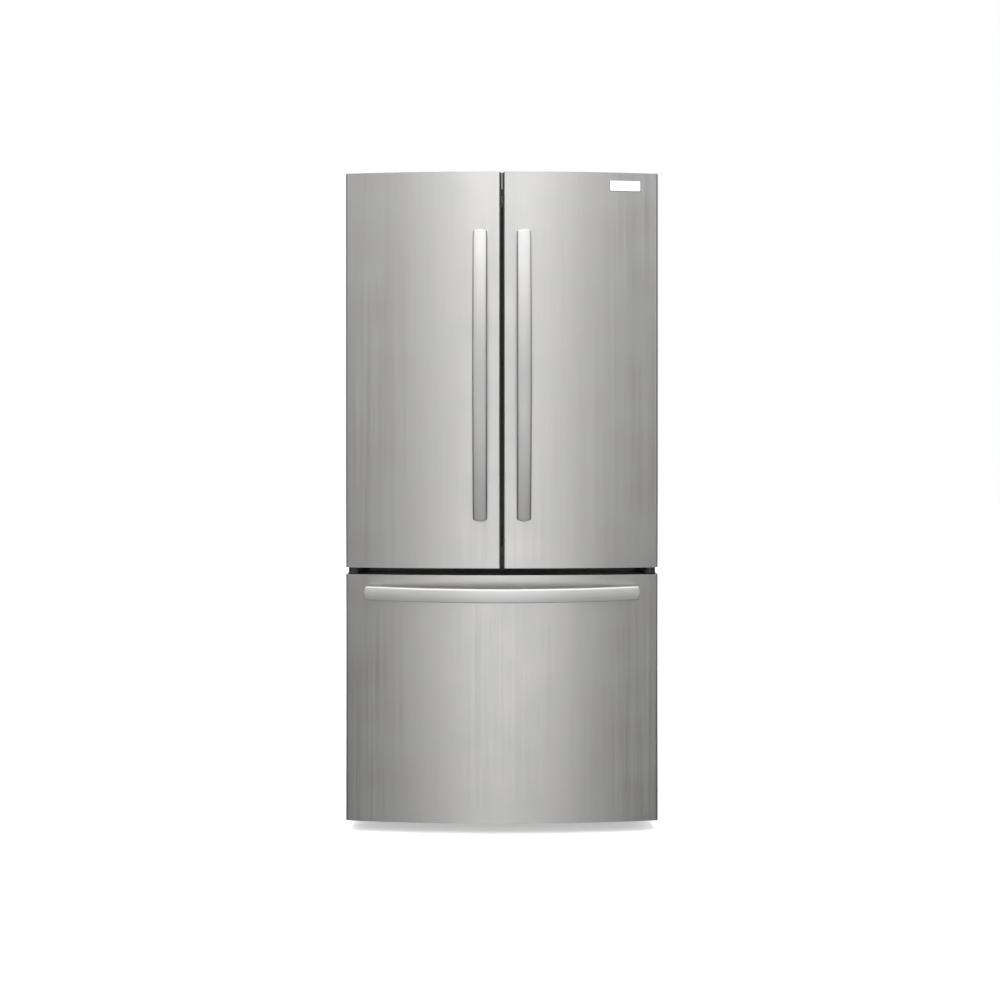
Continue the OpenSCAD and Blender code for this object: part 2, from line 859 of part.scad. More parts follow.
// A plastic pan with an upright ring that carries the machine fan
module drain_pan() {
    ring_t = 6;
    r = cond_fan_r + 6;
    motor_h = 8;
    fan_gap = 1;
    shaft_len = 14;
    z0 = z_mach_floor;
    y = [y_mach_mid - r - 8, y_mach_mid + r + 8];
    x_ring = cond_fan_x + fan_gap + motor_h;
    color("#7d8184") {
        tub([cond_fan_x - 40, cond_fan_x + 32], y, [z0, z0 + 18], 2.5);
        difference() {
            span([x_ring, x_ring + ring_t], y, [z0 + 2, z_cond_fan + r + 8]);
            translate([x_ring - cut, y_mach_mid, z_cond_fan])
                rotate([0, 90, 0])
                    cylinder(r = r, h = ring_t + 2 * cut);
        }
        // Spokes, motor and shaft
        translate([x_ring, y_mach_mid, z_cond_fan]) {
            for (a = [0:120:240])
                rotate([a, 0, 0]) span([0, ring_t], [-4, 4], [0, r + 3]);
            translate([-motor_h, 0, 0]) rotate([0, 90, 0]) cylinder(r = 15, h = motor_h + 18);
            rotate([0, -90, 0]) cylinder(r = shaft_r, h = motor_h + fan_gap + shaft_len);
        }
    }
}

module condenser_fan() {
    color("#d8d8d0")
        translate([cond_fan_x, y_mach_mid, z_cond_fan])
            rotate([0, -90, 0])
                fan(cond_fan_r, 16, 20, 5);
}

// Freezer cooling

module evaporator() {
    z = [z_step + 4, z_evap_fan - evap_fan_r - 10];
    color("#c9ccce")
        finned_block([-room_half + 90, room_half - 90], [y_room - 56, y_room], z, 18, 4);
}

module evaporator_cover() {
    t = 3;
    post_len = 30;
    color("#e4e7e9")
        union() {
            difference() {
                span([-room_half, room_half], [y_evap, y_evap + t], [z_step, z_freeze1]);
                slots([-room_half + 60, room_half - 60], [y_evap - cut, y_evap + t + cut],
                    [z_step + 12, z_step + 34], 24, 12);
                for (side = [-1, 1])
                    slots([side * 190 - 90, side * 190 + 90], [y_evap - cut, y_evap + t + cut],
                        [z_freeze1 - 56, z_freeze1 - 34], 9, 10);
                translate([0, y_evap - cut, z_evap_fan])
                    rotate([-90, 0, 0])
                        difference() {
                            cylinder(r = evap_fan_r, h = t + 2 * cut);
                            cylinder(r = 16, h = t + 2 * cut);
                            for (a = [0:45:135])
                                rotate([0, 0, a])
                                    translate([-evap_fan_r - cut, -3, 0])
                                        cube([2 * evap_fan_r + 2 * cut, 6, t + 2 * cut]);
                        }
            }
            translate([0, y_evap + t / 2, z_evap_fan])
                rotate([-90, 0, 0]) {
                    cylinder(r = 12, h = 14);
                    cylinder(r = shaft_r, h = post_len);
                }
        }
}

module evaporator_fan() {
    color("#f0f0ea")
        translate([0, y_evap + 3 / 2 + 14 + 1, z_evap_fan])
            rotate([-90, 0, 0])
                fan(evap_fan_r, 13, 18, 5);
}

// Fresh food compartment

module air_duct() {
    w = 90;
    d = 26;
    t = 2.5;
    z = [z_pantry1 + 30, z_room1 - 40];
    color("#f3f4f5")
        difference() {
            span([-w, w], [y_room - d, y_room], z);
            span([-w + t, w - t], [y_room - d + t, y_room + cut], [z[0] + t, z[1] - t]);
            for (k = [0:2], row = [0:2])
                let (zs = shelf_levels[k] + 70 + row * 16)
                    if (zs + 8 < z[1] - 6)
                        slots([-w + 16, w - 16], [y_room - d - cut, y_room - d + t + cut],
                            [zs, zs + 8], 5, 24);
        }
}

module control_panel() {
    z = [z_room1 - panel_h, z_room1];
    color("#eceeef")
        difference() {
            span([-panel_w / 2, panel_w / 2], [y_panel, y_panel + panel_d], z);
            for (side = [-1, 1])
                translate([side * button_x, y_panel, z_button]) {
                    span([-button_w / 2 - slide_play, button_w / 2 + slide_play],
                        [-cut, button_l - button_out + button_travel + slide_play],
                        [-button_h / 2 - slide_play, button_h / 2 + slide_play]);
                    rotate([-90, 0, 0])
                        cylinder(r = 3 + pin_play, h = button_l + 16);
                }
        }
}

module push_button() {
    color("#b9bdc0")
        union() {
            span([-button_w / 2, button_w / 2], [-button_out, button_l - button_out],
                [-button_h / 2, button_h / 2]);
            rotate([-90, 0, 0])
                cylinder(r = 3, h = button_l + 10);
        }
}

module fridge_button() {
    translate([-button_x, y_panel, z_button]) push_button();
}

module freezer_button() {
    translate([button_x, y_panel, z_button]) push_button();
}

module light_lens() {
    lens_w = 260;
    lens_d = 110;
    lens_h = 9;
    color("#ffffff")
        span([-lens_w / 2, lens_w / 2], [y_panel + panel_d + 12, y_panel + panel_d + 12 + lens_d],
            [z_room1 - lens_h, z_room1]);
}

// Rebate that the glass sits in, in a frame whose upper face is at z
module glass_seat(z, grow) {
    lap = 6;
    x = room_half - slide_play - shelf_bar + lap + grow;
    span([-x, x], [y_shelf0 + shelf_bar - lap - grow, y_shelf1 - shelf_bar + lap + grow],
        [z + shelf_frame_h - glass_t, z + shelf_frame_h]);
}

module shelf_frame(z) {
    x = room_half - slide_play;
    difference() {
        span([-x, x], [y_shelf0, y_shelf1], [z, z + shelf_frame_h]);
        span([-x + shelf_bar, x - shelf_bar], [y_shelf0 + shelf_bar, y_shelf1 - shelf_bar],
            [z - cut, z + shelf_frame_h + cut]);
        glass_seat(z, 0);
        glass_seat(z + glass_t, 0);
    }
}

// The lowest frame also hangs the divider that the crispers run on
module shelf_frames() {
    color("#d5d8da") {
        for (i = [1:2]) shelf_frame(shelf_levels[i]);
        union() {
            shelf_frame(shelf_levels[0]);
            span([-divider_w / 2, divider_w / 2], [y_shelf0, y_shelf1],
                [z_crisper0, z_cover_shelf + shelf_frame_h - glass_t]);
            span([-divider_w / 2 - ledge_w, divider_w / 2 + ledge_w], [y_shelf0 + 10, y_shelf1],
                [z_crisper1 - tub_rim_h - slide_play - ledge_h, z_crisper1 - tub_rim_h - slide_play]);
        }
    }
}

module shelf_glass() {
    color("#cfe3e0")
        for (z = shelf_levels) glass_seat(z, 0);
}

// A tub that hangs by its upper rims, with a taller front
module hung_drawer(x, z, rim_x0, rim_x1) {
    y1 = y_shelf1 - 12;
    front_t = 14;
    union() {
        tub(x, [y_shelf0, y1], z, tub_t);
        span([rim_x0, rim_x1], [y_shelf0, y_shelf0 + front_t],
            [z[0], z[1] - tub_rim_h - slide_play - ledge_h - 1]);
        difference() {
            span([rim_x0, rim_x1], [y_shelf0, y1], [z[1] - tub_rim_h, z[1]]);
            span([x[0] + tub_t, x[1] - tub_t], [y_shelf0 + front_t, y1 - tub_t],
                [z[1] - tub_rim_h - cut, z[1] + cut]);
        }
    }
}

module right_crisper() {
    color("#dbe9ee")
        hung_drawer(
            [divider_w / 2 + ledge_w + slide_play, tub_half],
            [z_crisper0, z_crisper1],
            divider_w / 2 + slide_play,
            room_half - slide_play
        );
}

module left_crisper() {
    mirror([1, 0, 0]) right_crisper();
}

module pantry_drawer() {
    color("#dbe9ee")
        hung_drawer([-tub_half, tub_half], [z_pantry0, z_pantry1],
            -room_half + slide_play, room_half - slide_play);
}

// Hinges

// An upper hinge's arm is slim beside the pin, where the door's front edge swings past it
arm_out = 2;
arm_r = 10;

module hinge_foot_plate() {
    y1 = y_case + 84;
    x1 = case_half - 4;
    x0 = x1 - hinge_plate_w;
    translate([0, 0, z_top])
        linear_extrude(hinge_plate_t)
            union() {
                translate([hinge_x, y_hinge]) circle(arm_r);
                translate([hinge_x - arm_r, y_hinge]) square([arm_r + arm_out, y1 - y_hinge]);
                translate([x0, y_case + 8]) square([hinge_plate_w, y1 - y_case - 8]);
            }
}

module top_hinge() {
    bolt_r = 6;
    union() {
        hinge_foot_plate();
        translate([hinge_x, y_hinge, z_cap1 - hinge_pin_len])
            cylinder(r = hinge_pin_r, h = hinge_pin_len + hinge_play + hinge_plate_t + 2);
        for (y = [y_case + 24, y_case + 64])
            translate([case_half - 4 - hinge_plate_w / 2, y, z_top + hinge_plate_t])
                cylinder(r = bolt_r, h = 4, $fn = 6);
    }
}

module middle_hinge() {
    shoulder = 3;
    z1 = z_door0 - shoulder;
    z0 = z1 - hinge_plate_t - 1;
    flange_t = 3;
    flange_half = mid_rail_h / 2 - 6;
    x0 = case_half - hinge_plate_w - 6;
    x1 = case_half;
    knuckle_r = x1 - hinge_x;
    union() {
        translate([0, 0, z0])
            linear_extrude(z1 - z0)
                union() {
                    translate([hinge_x, y_hinge]) circle(knuckle_r);
                    polygon([
                        [x1, y_hinge], [x1, y_case], [x0, y_case],
                        [x0, y_case - 14], [hinge_x - knuckle_r, y_hinge]
                    ]);
                }
        span([x0, lip_half], [y_case - flange_t, y_case], [z_mid - flange_half, z_mid + flange_half]);
        translate([hinge_x, y_hinge, z0])
            cylinder(r = hinge_pin_r, h = z_door0 + hinge_pin_len - z0);
        translate([hinge_x, y_hinge, z1 - 0.5])
            cylinder(r = hinge_pin_r * 1.8, h = shoulder + 0.5 - slide_play);
    }
}

module hinge_brackets() {
    color("#26272a")
        both_sides() {
            top_hinge();
            middle_hinge();
        }
}

// Outline of a hinge cover, shrunk by a wall: a broad part on the cabinet and a nose over the arm
module cover_outline(wall) {
    nose_r = arm_r + cover_wall + 0.5;
    x1 = case_half - wall;
    x0 = case_half - cover_w + wall;
    union() {
        translate([hinge_x, y_hinge]) circle(nose_r - wall);
        translate([hinge_x - nose_r + wall, y_hinge])
            square([nose_r + arm_out + cover_wall - 2 * wall, y_case + 20 - y_hinge]);
        translate([x0, y_case + 4 + wall]) square([x1 - x0, 88 - 2 * wall]);
    }
}

module hinge_covers() {
    cover_h = top_lip - hinge_play - cover_drop;
    color("#84888b")
        both_sides()
            translate([0, 0, z_top])
                difference() {
                    linear_extrude(cover_h) cover_outline(0);
                    translate([0, 0, -cut])
                        linear_extrude(cover_h - cover_wall + cut)
                            cover_outline(cover_wall);
                }
}

// Cam block at the ceiling that swings the folding bar
module mullion_guide() {
    color("#3a3c3e")
        difference() {
            span([-20, 32], [y_case + 4, y_case + 56], [z_room1 - 10, z_room1]);
            translate([32, y_case + 4, z_room1 - 10 - cut])
                cylinder(r = 26, h = 6 + cut);
        }
}

// Doors

right_x = [door_gap / 2, half_w];
rim_xs = [rim_x, room_half - rim_play];
rim_zs = [z_rim0, z_rim1];

y_lip = y_edge + top_lip_t;

module door_skin() {
    color("#c3c6c8")
        difference() {
            front_skin(right_x[0], right_x[1], [z_door0, z_door1], free_edge_r);
            span([0, half_w + cut], [y_lip, y_door + cut], [z_cap1, z_door1 + cut]);
        }
}

module bin_ledges() {
    for (z = bin_levels)
        for (x = [[bin_x0 - slide_play - 1, bin_x0 + 8], [bin_x1 - 8, bin_x1 + slide_play + 1]])
            span(x, [y_door - 1, y_door + rim_d - 6], [z - bin_ledge_h, z]);
}

module door_liner() {
    color("#eceeef")
        union() {
            inner_panel(right_x[0], right_x[1], [z_door0 + cap_t, z_cap1 - cap_t], rim_xs, rim_zs, rim_d);
            bin_ledges();
        }
}

// Brackets on the left door's raised rim that hold the folding bar's pivots
module flap_brackets() {
    for (z = [z_flap0 - flap_play - bracket_t, z_flap1 + flap_play])
        difference() {
            span([-rim_x - 1, -flap_x + flap_knuckle_r], [y_flap - flap_knuckle_r, y_flap + flap_knuckle_r],
                [z, z + bracket_t]);
            translate([-flap_x, y_flap, z - cut])
                cylinder(r = flap_pin_r + pin_play, h = bracket_t + 2 * cut);
        }
}

module door_foam() {
    color("#e3d9a8")
        union() {
            difference() {
                front_block(right_x[0], right_x[1], [z_door0 + cap_t, z_cap1 - cap_t], skin_t,
                    free_edge_r);
                span([0, half_w], [y_door - door_liner_t, y_door + cut], [z_door0, z_cap1]);
            }
            raised_rim(rim_xs, rim_zs, rim_d, door_liner_t);
        }
}

// Top and bottom end caps with the hinge bores; the top one fills the raised front edge
module door_caps() {
    bore_h = hinge_pin_len + 1;
    bore_r = hinge_pin_r + pin_play;
    color("#85898c") {
        difference() {
            front_block(right_x[0], right_x[1], [z_door0, z_door0 + cap_t], skin_t, free_edge_r);
            translate([hinge_x, y_hinge, z_door0 - cut]) cylinder(r = bore_r, h = bore_h + cut);
        }
        difference() {
            front_block(right_x[0], right_x[1], [z_cap1 - cap_t, z_door1], skin_t, free_edge_r);
            span([0, half_w], [y_lip, y_door + cut], [z_cap1, z_door1 + cut]);
            translate([hinge_x, y_hinge, z_cap1 - bore_h]) cylinder(r = bore_r, h = bore_h + cut);
        }
    }
}

module door_gasket() {
    color("#d0d2d3")
        seal([right_x[0] + seal_free_inset, half_w - seal_inset],
            [z_door0 + seal_inset, z_cap1 - seal_inset]);
}

module door_handle() {
    z0 = z_door0 + handle_low;
    r = (handle_len * handle_len / 4 + handle_sag * handle_sag) / (2 * handle_sag);
    // Distance from the front to the bar's inner face at the posts
    drop = r - sqrt(r * r - pow(handle_len / 2 - post_inset, 2));
    post_len = handle_reach - drop - handle_t / 2;
    color("#d4d6d8")
        union() {
            translate([handle_x, y_apex - handle_reach, z0 + handle_len / 2])
                bowed_bar(handle_len, handle_w, handle_sag);
            for (z = [z0 + post_inset, z0 + handle_len - post_inset])
                front_post(handle_x, z, post_len);
        }
}

module door_bins() {
    color("#e2eef2")
        for (z = bin_levels)
            tub([bin_x0, bin_x1], [y_door + slide_play, y_door + bin_d], [z, z + bin_h], tub_t);
}

module right_door_skin() {
    door_skin();
}

module left_door_skin() {
    mirror([1, 0, 0]) door_skin();
}

module right_door_liner() {
    door_liner();
}

module left_door_liner() {
    color("#eceeef")
        union() {
            mirror([1, 0, 0]) door_liner();
            flap_brackets();
        }
}

module right_door_foam() {
    door_foam();
}

module left_door_foam() {
    mirror([1, 0, 0]) door_foam();
}

module right_door_caps() {
    door_caps();
}

module left_door_caps() {
    mirror([1, 0, 0]) door_caps();
}

module right_door_gasket() {
    door_gasket();
}

module left_door_gasket() {
    mirror([1, 0, 0]) door_gasket();
}

module right_door_handle() {
    door_handle();
}

module left_door_handle() {
    mirror([1, 0, 0]) door_handle();
}

module right_door_bins() {
    door_bins();
}

module left_door_bins() {
    mirror([1, 0, 0]) door_bins();
}

// The bare plate lies on the bowed front
module badge_plate() {
    x1 = half_w - badge_side;
    x0 = x1 - badge_w;
    a0 = asin(x0 / bow_r);
    a1 = asin(x1 / bow_r);
    color("#f2f3f4")
        translate([0, y_bow, z_door1 - badge_drop - badge_h])
            rotate([0, 0, -90 + a0])
                rotate_extrude(angle = a1 - a0, $fn = 256)
                    translate([bow_r, 0]) square([badge_t, badge_h]);
}

// Folding bar at the left door's free edge, stored folded back into the compartment
module mullion_flap() {
    face = flap_back - seal_play;
    color("#2a2b2d")
        translate([-flap_x, y_flap, 0])
            union() {
                span([face - flap_t, face], [0, flap_w], [z_flap0, z_flap1]);
                translate([0, 0, z_flap0]) cylinder(r = flap_knuckle_r, h = z_flap1 - z_flap0);
                translate([0, 0, z_flap0 - flap_play - bracket_t + 1])
                    cylinder(r = flap_pin_r, h = z_flap1 - z_flap0 + 2 * (flap_play + bracket_t - 1));
            }
}

// Freezer drawer

module freezer_front_skin() {
    color("#c3c6c8") {
        front_skin(-half_w, half_w, [z_drawer0, z_drawer1]);
        for (z = [z_drawer0, z_drawer1 - skin_t])
            front_block(-half_w, half_w, [z, z + skin_t], skin_t);
    }
}

drawer_rim_xs = [-room_half + rim_play, room_half - rim_play];
drawer_rim_zs = [z_freeze0 + rim_play, z_freeze1 - rim_play];

module freezer_front_liner() {
    color("#eceeef")
        inner_panel(-half_w, half_w, [z_drawer0 + skin_t, z_drawer1 - skin_t],
            drawer_rim_xs, drawer_rim_zs, drawer_rim_d);
}

module freezer_front_foam() {
    color("#e3d9a8")
        union() {
            difference() {
                front_block(-half_w, half_w, [z_drawer0 + skin_t, z_drawer1 - skin_t], skin_t);
                span([-half_w, half_w], [y_door - door_liner_t, y_door + cut], [z_drawer0, z_drawer1]);
            }
            raised_rim(drawer_rim_xs, drawer_rim_zs, drawer_rim_d, door_liner_t);
        }
}

module freezer_gasket() {
    color("#d0d2d3")
        seal([-half_w + seal_inset, half_w - seal_inset],
            [z_drawer0 + drawer_seal_low, z_drawer1 - seal_inset]);
}

module freezer_handle() {
    z = z_drawer1 - drawer_handle_drop - drawer_handle_w / 2;
    x_post = drawer_handle_len / 2 - post_inset;
    r = (drawer_handle_len * drawer_handle_len / 4 + drawer_handle_sag * drawer_handle_sag)
        / (2 * drawer_handle_sag);
    drop = r - sqrt(r * r - x_post * x_post);
    post_len = drawer_handle_reach - drop + bow_y(x_post) - y_apex - handle_t / 2;
    color("#d4d6d8")
        union() {
            translate([0, y_apex - drawer_handle_reach, z])
                rotate([0, 90, 0])
                    bowed_bar(drawer_handle_len, drawer_handle_w, drawer_handle_sag);
            for (side = [-1, 1])
                front_post(side * x_post, z, post_len);
        }
}

// Slides

module fixed_rails() {
    z = [z_slide - slide_h / 2, z_slide + slide_h / 2];
    color("#b9bcbe")
        both_sides()
            difference() {
                span([room_half - slide_fixed_w, room_half], [y_slide0, y_slide1], z);
                span([room_half - slide_fixed_w - cut, room_half - slide_wall],
                    [y_slide0 - cut, y_slide1 + cut], [z[0] + slide_wall, z[1] - slide_wall]);
            }
}

module middle_rails() {
    z = [z_slide - slide_mid_h / 2, z_slide + slide_mid_h / 2];
    color("#a9adb0")
        both_sides()
            difference() {
                span([x_mid_in, x_mid_out], [y_slide0, y_slide1], z);
                span([x_mid_in - cut, x_mid_in + slide_mid_pocket], [y_slide0 - cut, y_slide1 + cut],
                    [z[0] + slide_wall, z[1] - slide_wall]);
            }
}

module inner_rails() {
    z = [z_slide - slide_inner_h / 2, z_slide + slide_inner_h / 2];
    plate_t = 4;
    y0 = y_door + drawer_rim_d;
    color("#b9bcbe")
        both_sides()
            union() {
                span([x_inner_in, x_inner_out], [y0, y_slide1], z);
                span([x_inner_in, x_inner_out], [y0, y0 + plate_t], [z[0] - 30, z[1]]);
            }
}

module freezer_bin() {
    z = [z_freezer_bin1 - freezer_bin_h, z_freezer_bin1];
    y = [y_freezer_bin0, y_freezer_bin1];
    x = freezer_bin_half;
    color("#e2eef2")
        union() {
            tub([-x, x], y, z, tub_t);
            difference() {
                span([-rail_grip, rail_grip], y, [z[1] - tub_rim_h, z[1]]);
                span([-x + tub_t, x - tub_t], [y[0] + tub_t, y[1] - tub_t],
                    [z[1] - tub_rim_h - cut, z[1] + cut]);
            }
        }
}

module freezer_tray() {
    z = [z_freezer_bin1 - tray_h / 2, z_freezer_bin1 + slide_play + tub_rim_h];
    y = [y_freezer_bin0 + tub_t + 2, y_freezer_bin0 + tub_t + 2 + tray_d];
    x = freezer_bin_half - tub_t - 2;
    color("#d5e6ec")
        union() {
            tub([-x, x], y, z, tub_t);
            difference() {
                span([-rail_grip, rail_grip], y, [z_freezer_bin1 + slide_play, z[1]]);
                span([-x + tub_t, x - tub_t], [y[0] + tub_t, y[1] - tub_t], [z[0], z[1] + cut]);
            }
        }
}

cabinet_shell();
back_panel();
cabinet_foam();
fridge_liner();
freezer_liner();
center_rail();
base_frame();
toe_grille();
machine_cover();
compressor();
condenser_coil();
drain_pan();
evaporator();
evaporator_cover();
air_duct();
power_inlet();
control_panel();
light_lens();
shelf_frames();
shelf_glass();
hinge_brackets();
hinge_covers();
mullion_guide();
fixed_rails();
condenser_fan();
evaporator_fan();
fridge_button();
freezer_button();
left_foot();
right_foot();
left_roller();
right_roller();
left_crisper();
right_crisper();
pantry_drawer();
left_door_skin();
left_door_liner();
left_door_foam();
left_door_caps();
left_door_gasket();
left_door_handle();
left_door_bins();
mullion_flap();
right_door_skin();
right_door_liner();
right_door_foam();
right_door_caps();
right_door_gasket();
right_door_handle();
right_door_bins();
badge_plate();
freezer_front_skin();
freezer_front_liner();
freezer_front_foam();
freezer_gasket();
freezer_handle();
inner_rails();
freezer_bin();
freezer_tray();
middle_rails();
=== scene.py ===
"""French door refrigerator: materials, dressed pieces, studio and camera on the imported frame."""

import json
import math

import bmesh
import bpy
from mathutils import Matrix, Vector


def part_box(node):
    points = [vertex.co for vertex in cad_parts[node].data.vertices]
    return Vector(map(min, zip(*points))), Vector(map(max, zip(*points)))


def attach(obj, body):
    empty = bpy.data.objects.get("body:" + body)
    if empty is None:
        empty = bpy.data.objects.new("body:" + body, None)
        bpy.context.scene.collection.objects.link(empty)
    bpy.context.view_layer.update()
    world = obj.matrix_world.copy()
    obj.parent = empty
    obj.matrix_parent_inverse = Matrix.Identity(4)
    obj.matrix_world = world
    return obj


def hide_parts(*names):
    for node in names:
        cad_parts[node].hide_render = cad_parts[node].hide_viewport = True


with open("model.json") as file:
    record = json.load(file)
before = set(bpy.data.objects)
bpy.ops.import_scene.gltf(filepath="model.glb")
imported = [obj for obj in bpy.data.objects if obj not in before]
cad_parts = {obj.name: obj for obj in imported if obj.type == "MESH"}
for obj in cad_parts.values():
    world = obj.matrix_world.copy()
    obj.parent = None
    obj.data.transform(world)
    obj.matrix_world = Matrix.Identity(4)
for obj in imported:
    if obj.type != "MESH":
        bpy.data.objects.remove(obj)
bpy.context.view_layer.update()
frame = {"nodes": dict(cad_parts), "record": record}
NODES = frame["nodes"]
MM = 0.001
SCENE = bpy.context.scene

# ---------------------------------------------------------------- places from the frame

LEFT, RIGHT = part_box("left_door_skin"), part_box("right_door_skin")
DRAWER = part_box("freezer_front_skin")
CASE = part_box("cabinet_shell")
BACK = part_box("back_panel")
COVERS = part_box("hinge_covers")
HALF_W = RIGHT[1].x
Y_DOOR = RIGHT[1].y  # rear of the fronts' side walls
Y_APEX = min(DRAWER[0].y, RIGHT[0].y)  # foremost line of the fronts

# ---------------------------------------------------------------- sizes that the fronts share

BOW = 22 * MM  # how far the fronts bow over their whole width
BOW_R = (HALF_W**2 + BOW**2) / (2 * BOW)
Y_BOW = Y_APEX + BOW_R  # the bow's axis
Y_EDGE = Y_APEX + BOW  # where the bow meets the outer sides
EDGE_R = 8 * MM  # outer upright edges
FREE_R = 1.2 * MM  # the doors' edges along the gap between them
HEM = 11 * MM  # strip folded in behind a side wall
SKIN_T = 1 * MM
TOP_LIP = 20 * MM  # the doors' lip in front of the upper hinges: its height
LIP_D = 10 * MM  # and its depth
Y_LIP = Y_EDGE + LIP_D
Z_CAP = RIGHT[1].z - TOP_LIP
HINGE_X = HALF_W - 19 * MM
HINGE_Y = CASE[0].y - 48 * MM
MERGE = 1e-6  # points closer than this are one


# ---------------------------------------------------------------- mesh helpers


def new_object(name, mesh, material, body, replaces=()):
    """A piece in the scene, with its finish, its body and the CAD nodes that it stands for."""
    obj = bpy.data.objects.new(name, mesh)
    SCENE.collection.objects.link(obj)
    mesh.materials.append(material)
    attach(obj, body)
    if replaces:
        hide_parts(*replaces)
    return obj


def mesh_from(name, verts, faces, sharp=35):
    """A clean mesh, smooth but for the edges that turn by more than the sharp angle in degrees."""
    mesh = bpy.data.meshes.new(name)
    mesh.from_pydata([tuple(v) for v in verts], [], faces)
    bm = bmesh.new()
    bm.from_mesh(mesh)
    bmesh.ops.remove_doubles(bm, verts=bm.verts, dist=MERGE)
    bmesh.ops.delete(bm, geom=[v for v in bm.verts if not v.link_faces], context="VERTS")
    bmesh.ops.recalc_face_normals(bm, faces=bm.faces)
    bm.to_mesh(mesh)
    bm.free()
    mesh.shade_smooth()
    mesh.set_sharp_from_angle(angle=math.radians(sharp))
    mesh.update()
    return mesh


def bevel(obj, width, segments=2, angle=50):
    """Rounds the edges that turn by more than the angle in degrees."""
    mod = obj.modifiers.new("bevel", "BEVEL")
    mod.width = width
    mod.segments = segments
    mod.limit_method = "ANGLE"
    mod.angle_limit = math.radians(angle)
    mod.harden_normals = True
    mod.use_clamp_overlap = True


def thicken(obj, thickness):
    """Gives a sheet its thickness, inwards from the surface."""
    mod = obj.modifiers.new("sheet", "SOLIDIFY")
    mod.thickness = thickness
    mod.offset = -1


def join_boxes(boxes):
    """Vertices and faces of boxes given as (x0, x1, y0, y1, z0, z1)."""
    sides = ((0, 2, 3, 1), (4, 5, 7, 6), (0, 1, 5, 4), (2, 6, 7, 3), (0, 4, 6, 2), (1, 3, 7, 5))
    verts, faces = [], []
    for x0, x1, y0, y1, z0, z1 in boxes:
        b = len(verts)
        verts += [(x, y, z) for z in (z0, z1) for y in (y0, y1) for x in (x0, x1)]
        faces += [[b + i for i in f] for f in sides]
    return verts, faces


def tube_faces(rings, n):
    """Faces between closed rings of n points each, and one face over each end."""
    faces = [
        (i * n + k, i * n + (k + 1) % n, (i + 1) * n + (k + 1) % n, (i + 1) * n + k)
        for i in range(rings - 1)
        for k in range(n)
    ]
    return faces + [tuple(range(n)), tuple((rings - 1) * n + k for k in range(n))]


def wall_face(i, j, m):
    """The face between columns i and i + 1 and rows j and j + 1, where a column has m points."""
    return (i * m + j, (i + 1) * m + j, (i + 1) * m + j + 1, i * m + j + 1)


def lathe(profile, origin, axis, around=40):
    """Vertices and faces of a turned shape: profile points are (radius, height along the axis)."""
    axis = Vector(axis).normalized()
    side = axis.orthogonal().normalized()
    other = axis.cross(side)
    verts = []
    for r, h in profile:
        for k in range(around):
            a = 2 * math.pi * k / around
            verts.append(Vector(origin) + axis * h + (side * math.cos(a) + other * math.sin(a)) * r)
    return verts, tube_faces(len(profile), around)


def merge(parts):
    """One list of vertices and faces from several."""
    verts, faces = [], []
    for v, f in parts:
        b = len(verts)
        verts += list(v)
        faces += [tuple(b + i for i in face) for face in f]
    return verts, faces


def arc(cx, cy, r, a0, a1, n):
    """Points of an arc from angle a0 to a1 in n steps."""
    angles = [a0 + (a1 - a0) * i / n for i in range(n + 1)]
    return [(cx + r * math.cos(a), cy + r * math.sin(a)) for a in angles]


def rounded(x0, x1, z0, z1, corner, inset=0.0):
    """Outline of a rectangle with rounded corners, moved in by the inset."""
    right, left, high, low = x1 - corner, x0 + corner, z1 - corner, z0 + corner
    quarters = ((right, high, 0), (left, high, 90), (left, low, 180), (right, low, 270))
    points = []
    for cx, cz, a in quarters:
        points += arc(cx, cz, corner - inset, math.radians(a), math.radians(a + 90), 6)
    return points


# ---------------------------------------------------------------- node helpers


